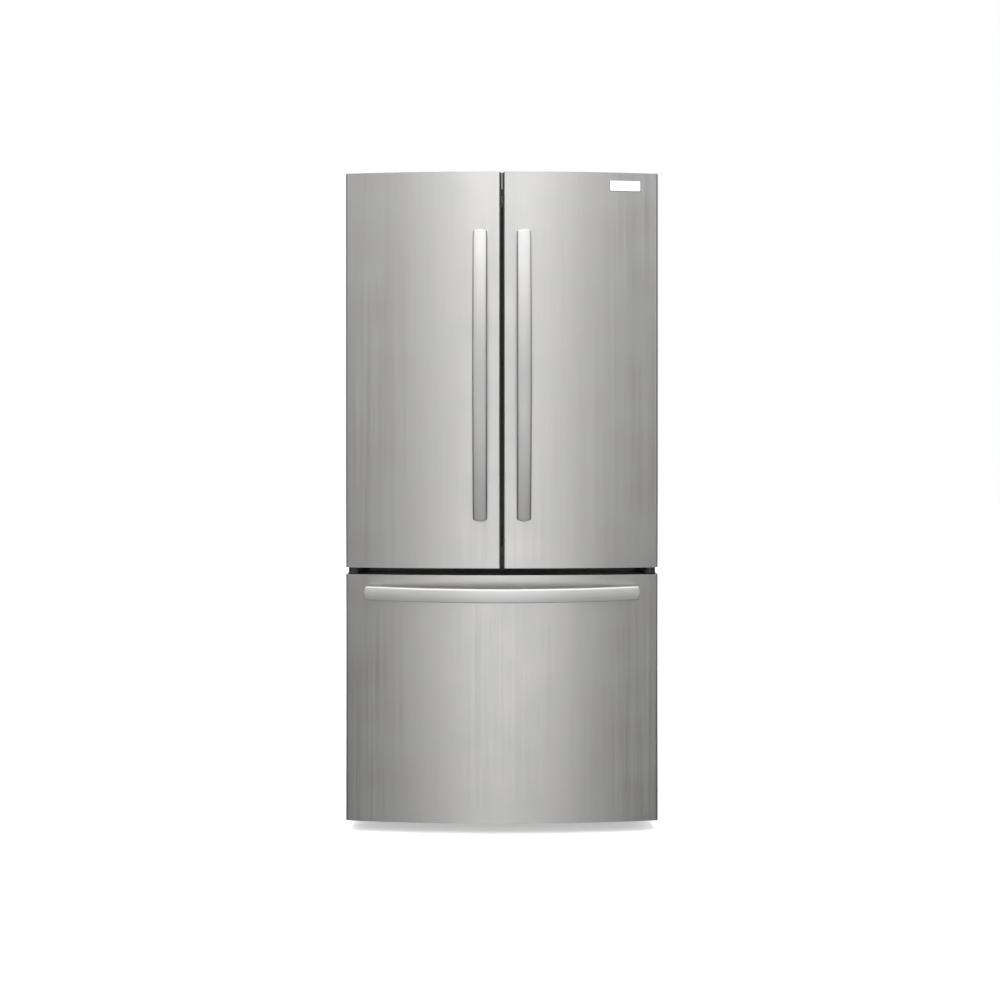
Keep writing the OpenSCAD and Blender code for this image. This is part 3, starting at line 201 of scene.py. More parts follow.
class Shader:
    """A material with short calls for its nodes."""

    def __init__(self, name):
        self.mat = bpy.data.materials.new(name)
        self.mat.use_nodes = True
        self.tree = self.mat.node_tree
        self.bsdf = next(n for n in self.tree.nodes if n.type == "BSDF_PRINCIPLED")
        self.coord = self.node("ShaderNodeTexCoord")

    def node(self, kind):
        return self.tree.nodes.new(kind)

    def link(self, a, b):
        self.tree.links.new(a, b)

    def set(self, **values):
        for key, value in values.items():
            self.bsdf.inputs[key.replace("_", " ")].default_value = value

    def mapping(self, scale=(1, 1, 1), location=(0, 0, 0)):
        m = self.node("ShaderNodeMapping")
        m.inputs["Scale"].default_value = scale
        m.inputs["Location"].default_value = location
        self.link(self.coord.outputs["Object"], m.inputs["Vector"])
        return m.outputs["Vector"]

    def noise(self, scale, detail=2.0, roughness=0.5, stretch=(1, 1, 1), location=(0, 0, 0)):
        n = self.node("ShaderNodeTexNoise")
        n.inputs["Scale"].default_value = scale
        n.inputs["Detail"].default_value = detail
        n.inputs["Roughness"].default_value = roughness
        self.link(self.mapping(stretch, location), n.inputs["Vector"])
        return n.outputs["Fac"]

    def voronoi(self, scale, feature="F1", output="Distance"):
        n = self.node("ShaderNodeTexVoronoi")
        n.feature = feature
        n.inputs["Scale"].default_value = scale
        self.link(self.mapping(), n.inputs["Vector"])
        return n.outputs[output]

    def ramp(self, value, low, high, out_low=0.0, out_high=1.0):
        n = self.node("ShaderNodeMapRange")
        n.inputs["From Min"].default_value = low
        n.inputs["From Max"].default_value = high
        n.inputs["To Min"].default_value = out_low
        n.inputs["To Max"].default_value = out_high
        self.link(value, n.inputs["Value"])
        return n.outputs["Result"]

    def spread(self, noise, out_low=0.0, out_high=1.0):
        """A noise's usual values, 0.3 to 0.7, spread from out_low to out_high."""
        return self.ramp(noise, 0.3, 0.7, out_low, out_high)

    def math(self, operation, a, b):
        n = self.node("ShaderNodeMath")
        n.operation = operation
        for socket, value in zip(n.inputs, (a, b)):
            if isinstance(value, (int, float)):
                socket.default_value = value
            else:
                self.link(value, socket)
        return n.outputs["Value"]

    def mix(self, fac, a, b, blend="MIX"):
        n = self.node("ShaderNodeMix")
        n.data_type = "RGBA"
        n.blend_type = blend
        for name, value in (("Factor", fac), ("A", a), ("B", b)):
            socket = next(s for s in n.inputs if s.name == name and (s.type == "RGBA" or name == "Factor"))
            if isinstance(value, bpy.types.NodeSocket):
                self.link(value, socket)
            elif name == "Factor":
                socket.default_value = value
            else:
                socket.default_value = (*value, 1)
        return next(s for s in n.outputs if s.type == "RGBA")

    def multiply(self, a, b):
        return self.mix(1.0, a, b, "MULTIPLY")

    def bump(self, height, strength, distance, normal=None):
        n = self.node("ShaderNodeBump")
        n.inputs["Strength"].default_value = strength
        n.inputs["Distance"].default_value = distance
        self.link(height, n.inputs["Height"])
        if normal is not None:
            self.link(normal, n.inputs["Normal"])
        return n.outputs["Normal"]

    def colour(self, socket):
        self.link(socket, self.bsdf.inputs["Base Color"])

    def rough(self, socket):
        self.link(socket, self.bsdf.inputs["Roughness"])

    def normal(self, socket):
        self.link(socket, self.bsdf.inputs["Normal"])


def scaled(colour, factor):
    return tuple(min(1.0, c * factor) for c in colour)


def grey(value):
    return (value, value, value)


# ---------------------------------------------------------------- materials


def brushed(name, base, rough, grain, lines, along="z"):
    """Brushed steel: fine streaks along one axis, broad soft bands and faint mottling."""
    s = Shader(name)
    band = 0.02

    def drawn(length):
        return (1.0, 1.0, length) if along == "z" else (length, 1.0, 1.0)

    fine = s.noise(900.0, 3.0, 0.65, drawn(0.012))
    streak = s.noise(160.0, 4.0, 0.6, drawn(0.01), (3.1, 1.7, 0.4))
    broad = s.noise(22.0, 3.0, 0.55, drawn(0.03), (7.7, 0.3, 2.2))
    mottle = s.noise(9.0, 2.0, 0.5, (1, 1, 1.2), (1.9, 5.2, 0.1))
    tone = s.mix(s.ramp(broad, 0.32, 0.68), scaled(base, 1 - band), scaled(base, 1 + band))
    tone = s.multiply(tone, s.mix(s.spread(mottle), (1.0, 0.994, 0.984), (0.985, 0.993, 1.0)))
    tone = s.multiply(tone, s.mix(s.spread(streak), grey(1 - lines), grey(1)))
    thread = s.mix(s.ramp(fine, 0.25, 0.75), grey(1 - grain), grey(1))
    s.colour(s.multiply(tone, thread))
    s.rough(s.math("ADD", s.spread(streak, rough - 0.03, rough + 0.03), s.spread(mottle, -0.015, 0.015)))
    s.normal(s.bump(s.math("ADD", fine, s.math("MULTIPLY", streak, 0.6)), 0.10, 0.00012))
    s.set(Metallic=1.0, IOR=2.4)
    return s.mat


def textured_paint(name, base, rough, cell, depth):
    """Baked paint with a fine leather-like emboss whose hollows carry painted shade, a fine grain in the
    sheen and slow tone changes.
    """
    s = Shader(name)
    emboss = s.voronoi(cell, "SMOOTH_F1")
    grain = s.noise(cell * 2.2, 3.0, 0.6)
    slow = s.noise(3.0, 3.0, 0.5)
    tone = s.mix(s.spread(slow), scaled(base, 0.93), scaled(base, 1.06))
    # The emboss's hollows are painted up to a tenth darker: painted shade.
    s.colour(s.multiply(tone, s.mix(s.ramp(emboss, 0.0, 0.6), grey(0.9), grey(1))))
    s.rough(s.spread(grain, rough - 0.05, rough + 0.06))
    s.normal(s.bump(grain, 0.35, depth * 0.5, s.bump(emboss, 0.6, depth)))
    return s.mat


def spangle(name, base, rough, cell):
    """Galvanised sheet: crystal spangle with a dull sheen and a few stains."""
    s = Shader(name)
    crystal = s.node("ShaderNodeRGBToBW")
    s.link(s.voronoi(cell, "F1", "Color"), crystal.inputs["Color"])
    crystal = crystal.outputs["Val"]
    stain = s.noise(6.0, 4.0, 0.6)
    fine = s.noise(300.0, 2.0, 0.5)
    tone = s.mix(s.ramp(crystal, 0.1, 0.9), scaled(base, 0.93), scaled(base, 1.05))
    s.colour(s.mix(s.ramp(stain, 0.55, 0.75, 0, 0.25), tone, scaled(base, 0.8)))
    dull = s.ramp(crystal, 0.1, 0.9, rough - 0.06, rough + 0.06)
    s.rough(s.math("ADD", dull, s.spread(fine, -0.02, 0.02)))
    s.normal(s.bump(fine, 0.15, 0.0001))
    s.set(Metallic=0.85)
    return s.mat


def moulded(name, base, rough, grain_scale, grain_depth, variation=0.03, coat=0.0):
    """Moulded plastic: an even grain or orange peel, slow colour drift and dull rubbed spots."""
    s = Shader(name)
    grain = s.noise(grain_scale, 3.0, 0.55)
    slow = s.noise(4.0, 2.0, 0.5, location=(2.0, 1.0, 0.5))
    wear = s.noise(18.0, 5.0, 0.65, location=(0.4, 2.0, 1.5))
    tone = s.mix(s.spread(slow), scaled(base, 1 - variation), scaled(base, 1 + variation))
    s.colour(s.multiply(tone, s.mix(s.spread(grain), grey(1 - variation), grey(1))))
    rubbed = s.ramp(wear, 0.35, 0.7, rough - 0.04, rough + 0.07)
    s.rough(s.math("ADD", rubbed, s.spread(grain, -0.02, 0.02)))
    s.normal(s.bump(grain, 0.4, grain_depth))
    s.set(Coat_Weight=coat)
    return s.mat


def clear(name, tint, rough, transmission, haze_scale, ior=1.49):
    """Clear moulded plastic or glass with faint scratches, haze and a tint."""
    s = Shader(name)
    haze = s.noise(haze_scale, 4.0, 0.6)
    scratch = s.noise(500.0, 3.0, 0.7, (1, 0.02, 1), (0.2, 0.5, 0.1))
    s.colour(s.mix(s.spread(haze), scaled(tint, 0.97), tint))
    s.rough(s.math("ADD", s.ramp(haze, 0.35, 0.75, rough, rough + 0.06), s.ramp(scratch, 0.6, 0.8, 0, 0.05)))
    s.normal(s.bump(s.noise(60.0, 2.0, 0.5), 0.05, 0.0003))
    s.set(Transmission_Weight=transmission, IOR=ior)
    return s.mat


def rubber(name, base):
    """Soft seal rubber: matt, with fine ribs of dust and rubbed, slightly shiny folds."""
    s = Shader(name)
    grain = s.noise(420.0, 3.0, 0.6)
    dust = s.noise(30.0, 5.0, 0.7)
    s.colour(s.mix(s.ramp(dust, 0.45, 0.75, 0, 0.5), base, tuple(c * 1.12 + 0.02 for c in base)))
    s.rough(s.ramp(dust, 0.3, 0.75, 0.55, 0.78))
    s.normal(s.bump(grain, 0.35, 0.0002))
    s.set(Sheen_Weight=0.15, Sheen_Roughness=0.5)
    return s.mat


def foam(name, base):
    """Cut rigid foam: small open cells."""
    s = Shader(name)
    cells = s.voronoi(650.0)
    lump = s.noise(40.0, 4.0, 0.6)
    s.colour(s.mix(s.spread(lump), scaled(base, 0.9), base))
    s.rough(s.ramp(cells, 0.0, 0.8, 0.8, 0.95))
    s.normal(s.bump(cells, 0.8, 0.0008))
    return s.mat


# Finishes by slot. handle_level_painted_light and black_rubber are only for pieces made here.
M = {
    "stainless": brushed("stainless_brushed", (0.605, 0.60, 0.592), 0.36, 0.04, 0.035),
    "handle_metal": brushed("handle_satin_upright", (0.50, 0.498, 0.495), 0.36, 0.05, 0.04),
    # The level pull's finish is the handle metal painted far lighter than the upright pulls' (0.84 against
    # 0.50): painted light on the drawer pull.
    "handle_level_painted_light": brushed("handle_satin_level_painted_light", (0.84, 0.837, 0.832), 0.50, 0.05, 0.04, "x"),
    "badge": moulded("badge_enamel", (0.70, 0.703, 0.707), 0.30, 300.0, 0.00004, 0.008, 0.3),
    "painted_case": textured_paint("case_paint", (0.085, 0.088, 0.092), 0.46, 520.0, 0.0004),
    "galvanised_back": spangle("back_galvanised", (0.50, 0.51, 0.52), 0.42, 130.0),
    "plated_steel": spangle("plated_zinc", (0.40, 0.41, 0.42), 0.36, 240.0),
    "black_steel": textured_paint("black_enamel", (0.018, 0.018, 0.02), 0.32, 900.0, 0.00012),
    "aluminium_fins": spangle("fin_aluminium", (0.62, 0.63, 0.64), 0.34, 400.0),
    "insulation": foam("rigid_foam", (0.72, 0.62, 0.38)),
    "white_liner": moulded("liner_white", (0.80, 0.815, 0.83), 0.34, 260.0, 0.00002, 0.015, 0.1),
    "gloss_white": moulded("gloss_white_plastic", (0.84, 0.85, 0.86), 0.24, 160.0, 0.00002, 0.012, 0.25),
    "gloss_grey": moulded("gloss_grey_plastic", (0.34, 0.355, 0.37), 0.25, 200.0, 0.0001, 0.02, 0.3),
    "grey_plastic": moulded("grained_grey_plastic", (0.085, 0.088, 0.092), 0.52, 700.0, 0.00025, 0.05),
    "grey_plastic_trim": moulded("trim_grey_plastic", (0.62, 0.63, 0.64), 0.36, 500.0, 0.00015, 0.02),
    "dark_plastic": moulded("dark_grained_plastic", (0.022, 0.023, 0.025), 0.48, 800.0, 0.0002, 0.06),
    "black_rubber": rubber("black_rubber", (0.012, 0.012, 0.013)),
    "clear_plastic": clear("clear_moulding", (0.90, 0.955, 0.98), 0.06, 0.92, 26.0),
    "shelf_glass": clear("tempered_glass", (0.84, 0.95, 0.92), 0.02, 0.97, 14.0, 1.52),
    "lamp_lens": moulded("frosted_lens", (0.93, 0.94, 0.95), 0.40, 380.0, 0.00005, 0.01, 0.1),
    "seal_rubber": rubber("seal_rubber_grey", (0.20, 0.205, 0.21)),
}

# The CAD nodes that stay in view take the finish of their slot
for part in frame["record"]["subparts"]:
    for holder in NODES[part["node"]].material_slots:
        holder.material = M[part["material_slot"]]


# ---------------------------------------------------------------- door and drawer fronts

FACE_STEPS = 80
CORNER_STEPS = 10


def front_path(x0, x1, r0=EDGE_R, r1=EDGE_R, y_marks=()):
    """Outer plan of a front, from the left rear hem round the bowed face to the right rear hem."""
    c0 = (x0 + r0, Y_BOW - math.sqrt((BOW_R - r0) ** 2 - (x0 + r0) ** 2))
    c1 = (x1 - r1, Y_BOW - math.sqrt((BOW_R - r1) ** 2 - (x1 - r1) ** 2))
    a0 = math.atan2(c0[1] - Y_BOW, c0[0])
    a1 = math.atan2(c1[1] - Y_BOW, c1[0])
    rear = Y_DOOR + 0.2 * MM  # the hem's fold stands a little behind the wall
    path = [(x0 + HEM, rear), (x0, rear)] + [(x0, y) for y in sorted(y_marks, reverse=True)]
    path += arc(*c0, r0, -math.pi, a0, CORNER_STEPS)
    path += arc(0, Y_BOW, BOW_R, a0, a1, FACE_STEPS)[1:-1]
    path += arc(*c1, r1, a1, 0, CORNER_STEPS)
    return path + [(x1, y) for y in sorted(y_marks)] + [(x1, rear), (x1 - HEM, rear)]


def door_front(name, x0, x1, r0, r1, body, node):
    """The steel wrap of an upper door, its rear part cut down where the hinge is seated."""
    z0, z1 = RIGHT[0].z, RIGHT[1].z
    border = 4 * MM
    path = front_path(x0, x1, r0, r1, (Y_LIP,))
    rows = [z0, z0 + border, Z_CAP, z1 - border, z1]
    m = len(rows)
    verts = [(x, y, z) for x, y in path for z in rows]
    faces = []
    for i in range(len(path) - 1):
        behind = (path[i][1] + path[i + 1][1]) / 2 > Y_LIP
        top = rows.index(Z_CAP) if behind else m - 1
        faces += [wall_face(i, j, m) for j in range(top)]
    obj = new_object(name, mesh_from(name, verts, faces), M["stainless"], body, (node,))
    thicken(obj, SKIN_T)
    bevel(obj, 0.35 * MM)


door_front("left_door_front", LEFT[0].x, LEFT[1].x, EDGE_R, FREE_R, "left_door", "left_door_skin")
door_front("right_door_front", RIGHT[0].x, RIGHT[1].x, FREE_R, EDGE_R, "right_door", "right_door_skin")


def drawer_front(name, body, node):
    """The drawer's steel front: bowed face, both sides, and closed top and bottom with rounded edges."""
    z0, z1 = DRAWER[0].z, DRAWER[1].z
    border = 5 * MM
    path = front_path(DRAWER[0].x, DRAWER[1].x)
    rows = [z0, z0 + border, z1 - border, z1]
    n, m = len(path), len(rows)
    verts = [(x, y, z) for x, y in path for z in rows]
    faces = [wall_face(i, j, m) for i in range(n - 1) for j in range(m - 1)]
    faces += [tuple(i * m for i in range(n)), tuple(i * m + m - 1 for i in range(n))]
    obj = new_object(name, mesh_from(name, verts, faces), M["stainless"], body, (node,))
    thicken(obj, SKIN_T)
    bevel(obj, 0.8 * MM, 3)


drawer_front("drawer_front", "freezer_drawer", "freezer_front_skin")


# ---------------------------------------------------------------- trim in the gaps between the fronts

SLIT = 2.3 * MM  # from the middle of the gap to a door's lip
FIN = 0.5 * MM  # and to its fin and stops
Y_TRIM = Y_APEX + 9 * MM
STOP_H = 58 * MM


def extruded(name, outline, spans, finish, body):
    """Upright prisms over one plan outline, one for each span of heights."""
    parts = []
    for z0, z1 in spans:
        verts = [(x, y, z) for z in (z0, z1) for x, y in outline]
        parts.append((verts, tube_faces(2, len(outline))))
    obj = new_object(name, mesh_from(name, *merge(parts)), M[finish], body)
    bevel(obj, 0.4 * MM)


def free_edge(side, body):
    """A door's free edge: a dark lip along the gap, and behind it a rubber fin with a stop at each end."""
    wall = RIGHT[0].x
    root = wall - 1 * MM
    z0, z1 = RIGHT[0].z + 1 * MM, RIGHT[1].z - 0.3 * MM
    # Outlines from above: distance from the gap's middle, and mm behind the lip's front
    lip = [(wall, 0), (SLIT, 0), (SLIT, 2.4), (root, 3.6), (root, 20), (wall, 20)]
    stop = [(root, 4), (FIN, 4), (FIN, 17), (root, 17)]
    fin = [(root, 12), (FIN, 12), (FIN, 13.5), (root, 15)]
    lip, stop, fin = ([(side * x, Y_TRIM + y * MM) for x, y in shape] for shape in (lip, stop, fin))
    ends = [(z0, z0 + STOP_H), (z1 - STOP_H, z1)]
    extruded(body + "_edge_trim", lip, [(z0, z1)], "dark_plastic", body)
    extruded(body + "_edge_fin", fin, [(z0 + STOP_H, z1 - STOP_H)], "black_rubber", body)
    extruded(body + "_edge_stops", stop, ends, "dark_plastic", body)


free_edge(-1, "left_door")
free_edge(1, "right_door")


def hinge_skirts():
    """Plastic shrouds under the plates of the middle hinges, in the gap above the drawer."""
    r = CASE[1].x - HINGE_X
    inner = HINGE_X - 2 * r
    off_case = 3.4 * MM
    rear = CASE[0].y - off_case
    plan = [(HINGE_X + r, rear), (inner, rear), (inner, rear - r)]
    plan += arc(HINGE_X, HINGE_Y, r, math.pi, 2 * math.pi, 16)
    over_drawer, under_door = 1.2 * MM, 8.3 * MM
    span = [(DRAWER[1].z + over_drawer, RIGHT[0].z - under_door)]
    for side, name in ((-1, "left_hinge_skirt"), (1, "right_hinge_skirt")):
        extruded(name, [(side * x, y) for x, y in plan], span, "dark_plastic", "cabinet")


hinge_skirts()


# ---------------------------------------------------------------- handles

BAR_T = 16 * MM
POST_INSET = 40 * MM  # from a bar's end to its post
POST_R = 10 * MM
BAR_STEPS = 120
END_STEPS = 5


def handle_profile(w, t, crown):
    """Section of a handle as (across, depth below the crest): a crowned face with rounded shoulders."""
    shoulder, ease, half = 3 * MM, 1.2 * MM, w / 2

    def depth(x):
        return crown - math.sqrt(crown**2 - x * x)

    flat = half - shoulder
    lean = math.asin(flat / crown)
    right = [(flat * i / 12, depth(flat * i / 12)) for i in range(13)]
    cx, cy = flat - shoulder * math.sin(lean), depth(flat) + shoulder * math.cos(lean)
    for i in range(1, 9):
        a = lean + (math.pi / 2 - lean) * i / 8
        widen = (half - cx - shoulder) * i / 8
        right.append((cx + shoulder * math.sin(a) + widen, cy - shoulder * math.cos(a)))
    right += [(half, t - ease), (half - ease * 0.3, t - ease * 0.3), (half - ease, t)]
    return [(-x, d) for x, d in reversed(right[1:])] + right


def bowed_bar(length, w, t, sag, crown):
    """A bar along local Z bowed towards local -Y, its crest's middle at the origin, its ends eased."""
    r = (length**2 / 4 + sag**2) / (2 * sag)
    section = handle_profile(w, t, crown)
    ease = 1.4 * MM
    # A station is its place from end to end, -1 to 1, and in the eased ends how far in it is, 0 to 1
    stations = [(-1, k / END_STEPS) for k in range(END_STEPS)]
    stations += [(2 * i / BAR_STEPS - 1, None) for i in range(BAR_STEPS + 1)]
    stations += [(1, 1 - (k + 1) / END_STEPS) for k in range(END_STEPS)]
    verts = []
    for u, e in stations:
        turn = None if e is None else e * math.pi / 2
        inset = 0.0 if e is None else ease * (1 - math.sin(turn))
        for s, d in section:
            across = s * (1 - inset / (w / 2))
            depth = t / 2 + (d - t / 2) * (1 - inset / (t / 2))
            tip = length / 2 - (w - math.sqrt(w**2 - s**2)) - ease
            z = u * tip if e is None else u * (tip + ease * math.cos(turn))
            a = math.asin(max(-1.0, min(1.0, z / (r - depth))))
            verts.append((across, r - (r - depth) * math.cos(a), z))
    return verts, tube_faces(len(stations), len(section))


def post(x, z, reach):
    """A post square to the bow at x, with a small spread foot on the front."""
    a = math.asin(x / BOW_R)
    out = Vector((math.sin(a), -math.cos(a), 0))
    sunk, spread, foot_t, hollow = 0.3 * MM, 2.4 * MM, 1.2 * MM, 3 * MM
    foot = Vector((0, Y_BOW, z)) + out * (BOW_R - sunk)
    profile = [(POST_R + spread, 0), (POST_R + spread, foot_t)]
    for k in range(1, 7):
        turn = k * math.pi / 12
        profile.append((POST_R + spread * (1 - math.sin(turn)), foot_t + hollow * (1 - math.cos(turn))))
    return lathe(profile + [(POST_R, reach * 0.5), (POST_R, reach)], foot, out)


def handle(name, finish, body, node, sag, crown, level=False):
    """A bowed bar on two posts, upright or level, its crown given in widths."""
    lo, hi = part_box(node)
    x, z = (lo.x + hi.x) / 2, (lo.z + hi.z) / 2
    length, width = (hi.x - lo.x, hi.z - lo.z) if level else (hi.z - lo.z, hi.x - lo.x)
    verts, faces = bowed_bar(length, width, BAR_T, sag, crown * width)
    half = length / 2 - POST_INSET
    if level:
        bar = [(v[2] + x, v[1] + lo.y, v[0] + z) for v in verts]
        spots = [(x - half, z), (x + half, z)]
    else:
        bar = [(v[0] + x, v[1] + lo.y, v[2] + z) for v in verts]
        spots = [(x, z - half), (x, z + half)]
    r = (length**2 / 4 + sag**2) / (2 * sag)
    drop = r - math.sqrt(r * r - half * half)
    front = Y_BOW - math.sqrt(BOW_R**2 - spots[0][0] ** 2)
    reach = front - (lo.y + drop + BAR_T / 2)
    mesh = mesh_from(name, *merge([(bar, faces)] + [post(*spot, reach) for spot in spots]), sharp=40)
    new_object(name, mesh, M[finish], body, (node,))


handle("left_door_pull", "handle_metal", "left_door", "left_door_handle", 46 * MM, 7)
handle("right_door_pull", "handle_metal", "right_door", "right_door_handle", 46 * MM, 7)
# The drawer pull takes the lighter copy of the handle metal, painted light.
handle("drawer_pull", "handle_level_painted_light", "freezer_drawer", "freezer_handle", 55 * MM, 2.4, level=True)


# ---------------------------------------------------------------- bare plate on the right door


def bowed_plate(name, inset, y_off, t, corner, finish, replaces=()):
    """A thin plate on the bow, its outer face y_off + t ahead of the front."""
    lo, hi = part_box("badge_plate")
    outline = rounded(lo.x + inset, hi.x - inset, lo.z + inset, hi.z - inset, corner)
    verts = []
    for r in (BOW_R + y_off, BOW_R + (y_off + t)):
        verts += [(x / BOW_R * r, Y_BOW - math.cos(math.asin(x / BOW_R)) * r, z) for x, z in outline]
    mesh = mesh_from(name, verts, tube_faces(2, len(outline)))
    obj = new_object(name, mesh, M[finish], "right_door", replaces)
    bevel(obj, min(0.3 * MM, t * 0.3))


bowed_plate("plate_edge", 0, 0.05 * MM, 0.6 * MM, 2 * MM, "dark_plastic")
bowed_plate("plate_face", 0.9 * MM, 0.3 * MM, 0.85 * MM, 1.4 * MM, "badge", ("badge_plate",))


# ---------------------------------------------------------------- cabinet wrap, back and hinge covers


def cabinet_wrap():
    """The painted case: both sides and the top with rounded long edges, and the turned-in front rim."""
    lo, hi = CASE
    t = 1.2 * MM
    flange = 18 * MM
    r = 2.5 * MM
    near = 1e-6
    # Outline of the wrap seen from the front, from the left foot over the top to the right foot
    turns = [math.pi * k / 12 for k in range(1, 6)]
    outline = [(lo.x, lo.z), (lo.x, hi.z - r)]
    outline += [(lo.x + r - r * math.cos(a), hi.z - r + r * math.sin(a)) for a in turns]
    outline += [(lo.x + r, hi.z), (hi.x - r, hi.z)]
    outline += [(hi.x - r + r * math.sin(a), hi.z - r + r * math.cos(a)) for a in turns]
    outline += [(hi.x, hi.z - r), (hi.x, lo.z)]
    cx = (lo.x + hi.x) / 2

    def inward(x, z, d):
        """A point of the outline moved in by d, the feet only sideways."""
        nx = x + d if x < cx else x - d
        if abs(z - lo.z) < near:
            return nx, z
        return (nx if abs(x - cx) > (hi.x - cx) - r - near else x), (z - d if z > hi.z - r - near else z)

    # Depth and inset of each loop: rear hem, rear edge, front edge rounding, front rim
    hem = flange * 0.6
    loops = [(hi.y - 0.2 * MM, hem), (hi.y, hem - 0.2 * MM), (hi.y, r * 0.3), (hi.y - r * 0.3, 0)]
    loops += [(lo.y + r, 0)]
    for a in (math.pi * k / 10 for k in range(1, 5)):
        loops.append((lo.y + r - r * math.sin(a), r - r * math.cos(a)))
    loops += [(lo.y, r), (lo.y, flange)]
    n = len(outline)
    verts = []
    for y, d in loops:
        for x, z in outline:
            px, pz = inward(x, z, d)
            verts.append((px, y, pz))
    faces = []
    for i in range(0, n * (len(loops) - 1), n):
        faces += [(i + k, i + k + 1, i + n + k + 1, i + n + k) for k in range(n - 1)]
    mesh = mesh_from("case_wrap", verts, faces, sharp=50)
    # Outward normals: the side at -X must face -X
    bm = bmesh.new()
    bm.from_mesh(mesh)
    side = min(bm.faces, key=lambda f: f.calc_center_median().x)
    if side.normal.x > 0:
        bmesh.ops.reverse_faces(bm, faces=bm.faces)
    bm.to_mesh(mesh)
    bm.free()
    obj = new_object("case_wrap", mesh, M["painted_case"], "cabinet", ("cabinet_shell",))
    thicken(obj, t)


cabinet_wrap()


def heads(name, profile, spots, axis, around, finish):
    """Turned heads on the cabinet, one at each spot: profile points are (radius, height) in mm."""
    profile = [(r * MM, h * MM) for r, h in profile]
    parts = [lathe(profile, spot, axis, around) for spot in spots]
    new_object(name, mesh_from(name, *merge(parts)), M[finish], "cabinet")


def hinge_cover_shells():
    """Both hinge covers: a broad part on the cabinet and a nose over the hinge arm, with rounded edges."""
    x_out, z0, z1 = COVERS[1].x, COVERS[0].z, COVERS[1].z
    nose = HINGE_Y - COVERS[0].y  # radius round the hinge pin
    broad, behind_rim, off_pin = 60 * MM, 4 * MM, 4 * MM
    x_in, neck = x_out - broad, HINGE_X + off_pin
    y0, y1 = CASE[0].y + behind_rim, COVERS[1].y
    meet = math.acos((neck - HINGE_X) / nose)
    outline = [(x_in, y0), (HINGE_X - nose, y0)]
    outline += arc(HINGE_X, HINGE_Y, nose, math.pi, 2 * math.pi + meet, 20)
    outline += [(neck, y0), (x_out, y0), (x_out, y1), (x_in, y1)]
    faces = tube_faces(2, len(outline))
    faces.remove(tuple(range(len(outline))))  # open below
    parts = []
    for side in (-1, 1):
        verts = [(side * x, y, z) for z in (z0, z1) for x, y in outline]
        parts.append((verts, faces if side > 0 else [f[::-1] for f in faces]))
    mesh = mesh_from("hinge_cover_shells", *merge(parts))
    finish = "grey_plastic"
    obj = new_object("hinge_cover_shells", mesh, M[finish], "cabinet", ("hinge_covers",))
    bevel(obj, 1.8 * MM, 3, 40)
    thicken(obj, 1.6 * MM)
    screw = [(4.6, -0.4), (4.6, 0.4), (4.0, 1.1), (2.6, 1.5), (1.6, 1.5), (1.4, 0.5)]
    spots = [(side * (x_in + x_out) / 2, (y0 + y1) / 2, z1) for side in (-1, 1)]
    heads("hinge_cover_screws", screw, spots, (0, 0, 1), 28, "black_steel")


hinge_cover_shells()


def raised_field(x, z, y0, height):
    """A low pressed field on the back: a rounded rectangle that rises over a sloped border."""
    slope, corner = 5 * MM, 26 * MM
    levels = [(0, y0 - 0.2 * MM), (0, y0)]
    levels += [(slope * w, y0 + height * h) for w, h in ((0.3, 0.25), (0.7, 0.75), (1, 1))]
    verts = []
    for inset, y in levels:
        ring = rounded(*x, *z, corner, inset)
        verts += [(px, y, pz) for px, pz in ring]
    return verts, tube_faces(len(levels), len(ring))


def back_sheet():
    """The galvanised back with pressed fields, and the two plates that close off the machine space."""
    lo, hi = BACK
    t, relief = 0.8 * MM, 0.75 * MM
    z_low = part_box("machine_cover")[1].z
    face = hi.y - relief
    plates = [
        (lo.x, hi.x, face - t, face, z_low, hi.z),
        (lo.x, hi.x, lo.y, face, z_low, z_low + t),
        (lo.x, hi.x, lo.y, lo.y + t, lo.z, z_low + t),
    ]
    parts = [join_boxes(plates)]
    margin, gap = 46 * MM, 34 * MM
    tall, wide = (hi.z - z_low - 2 * margin - 2 * gap) / 3, (hi.x - lo.x - 2 * margin - gap) / 2
    for i in range(2):
        for k in range(3):
            x0, z0 = lo.x + margin + i * (wide + gap), z_low + margin + k * (tall + gap)
            parts.append(raised_field((x0, x0 + wide), (z0, z0 + tall), face, relief * 0.95))
    mesh = mesh_from("back_sheet", *merge(parts), sharp=30)
    new_object("back_sheet", mesh, M["galvanised_back"], "cabinet", ("back_panel",))

    screw = [(5.2, -0.3), (5.2, 0.2), (4.4, 0.5), (2.0, 0.65), (1.8, 0.35)]
    in_x, in_z, mid_x = 16 * MM, 18 * MM, 0.18
    span = hi.z - z_low - 2 * in_z
    spots = [(x, face, z_low + in_z + k * span / 6) for x in (lo.x + in_x, hi.x - in_x) for k in range(7)]
    spots += [(x, face, z) for x in (-mid_x, 0.0, mid_x) for z in (z_low + in_z, hi.z - in_z)]
    heads("back_screws", screw, spots, (0, 1, 0), 20, "plated_steel")

    plug = [(15, -0.3), (15, 0.3), (13.5, 0.65), (9, 0.65), (8, 0.3)]
    spots = [(0, face, z_low + margin + tall * f + gap * g) for f, g in ((1, 0.5), (2, 1.5))]
    heads("foam_port_plugs", plug, spots, (0, 1, 0), 36, "dark_plastic")


back_sheet()


# ---------------------------------------------------------------- studio

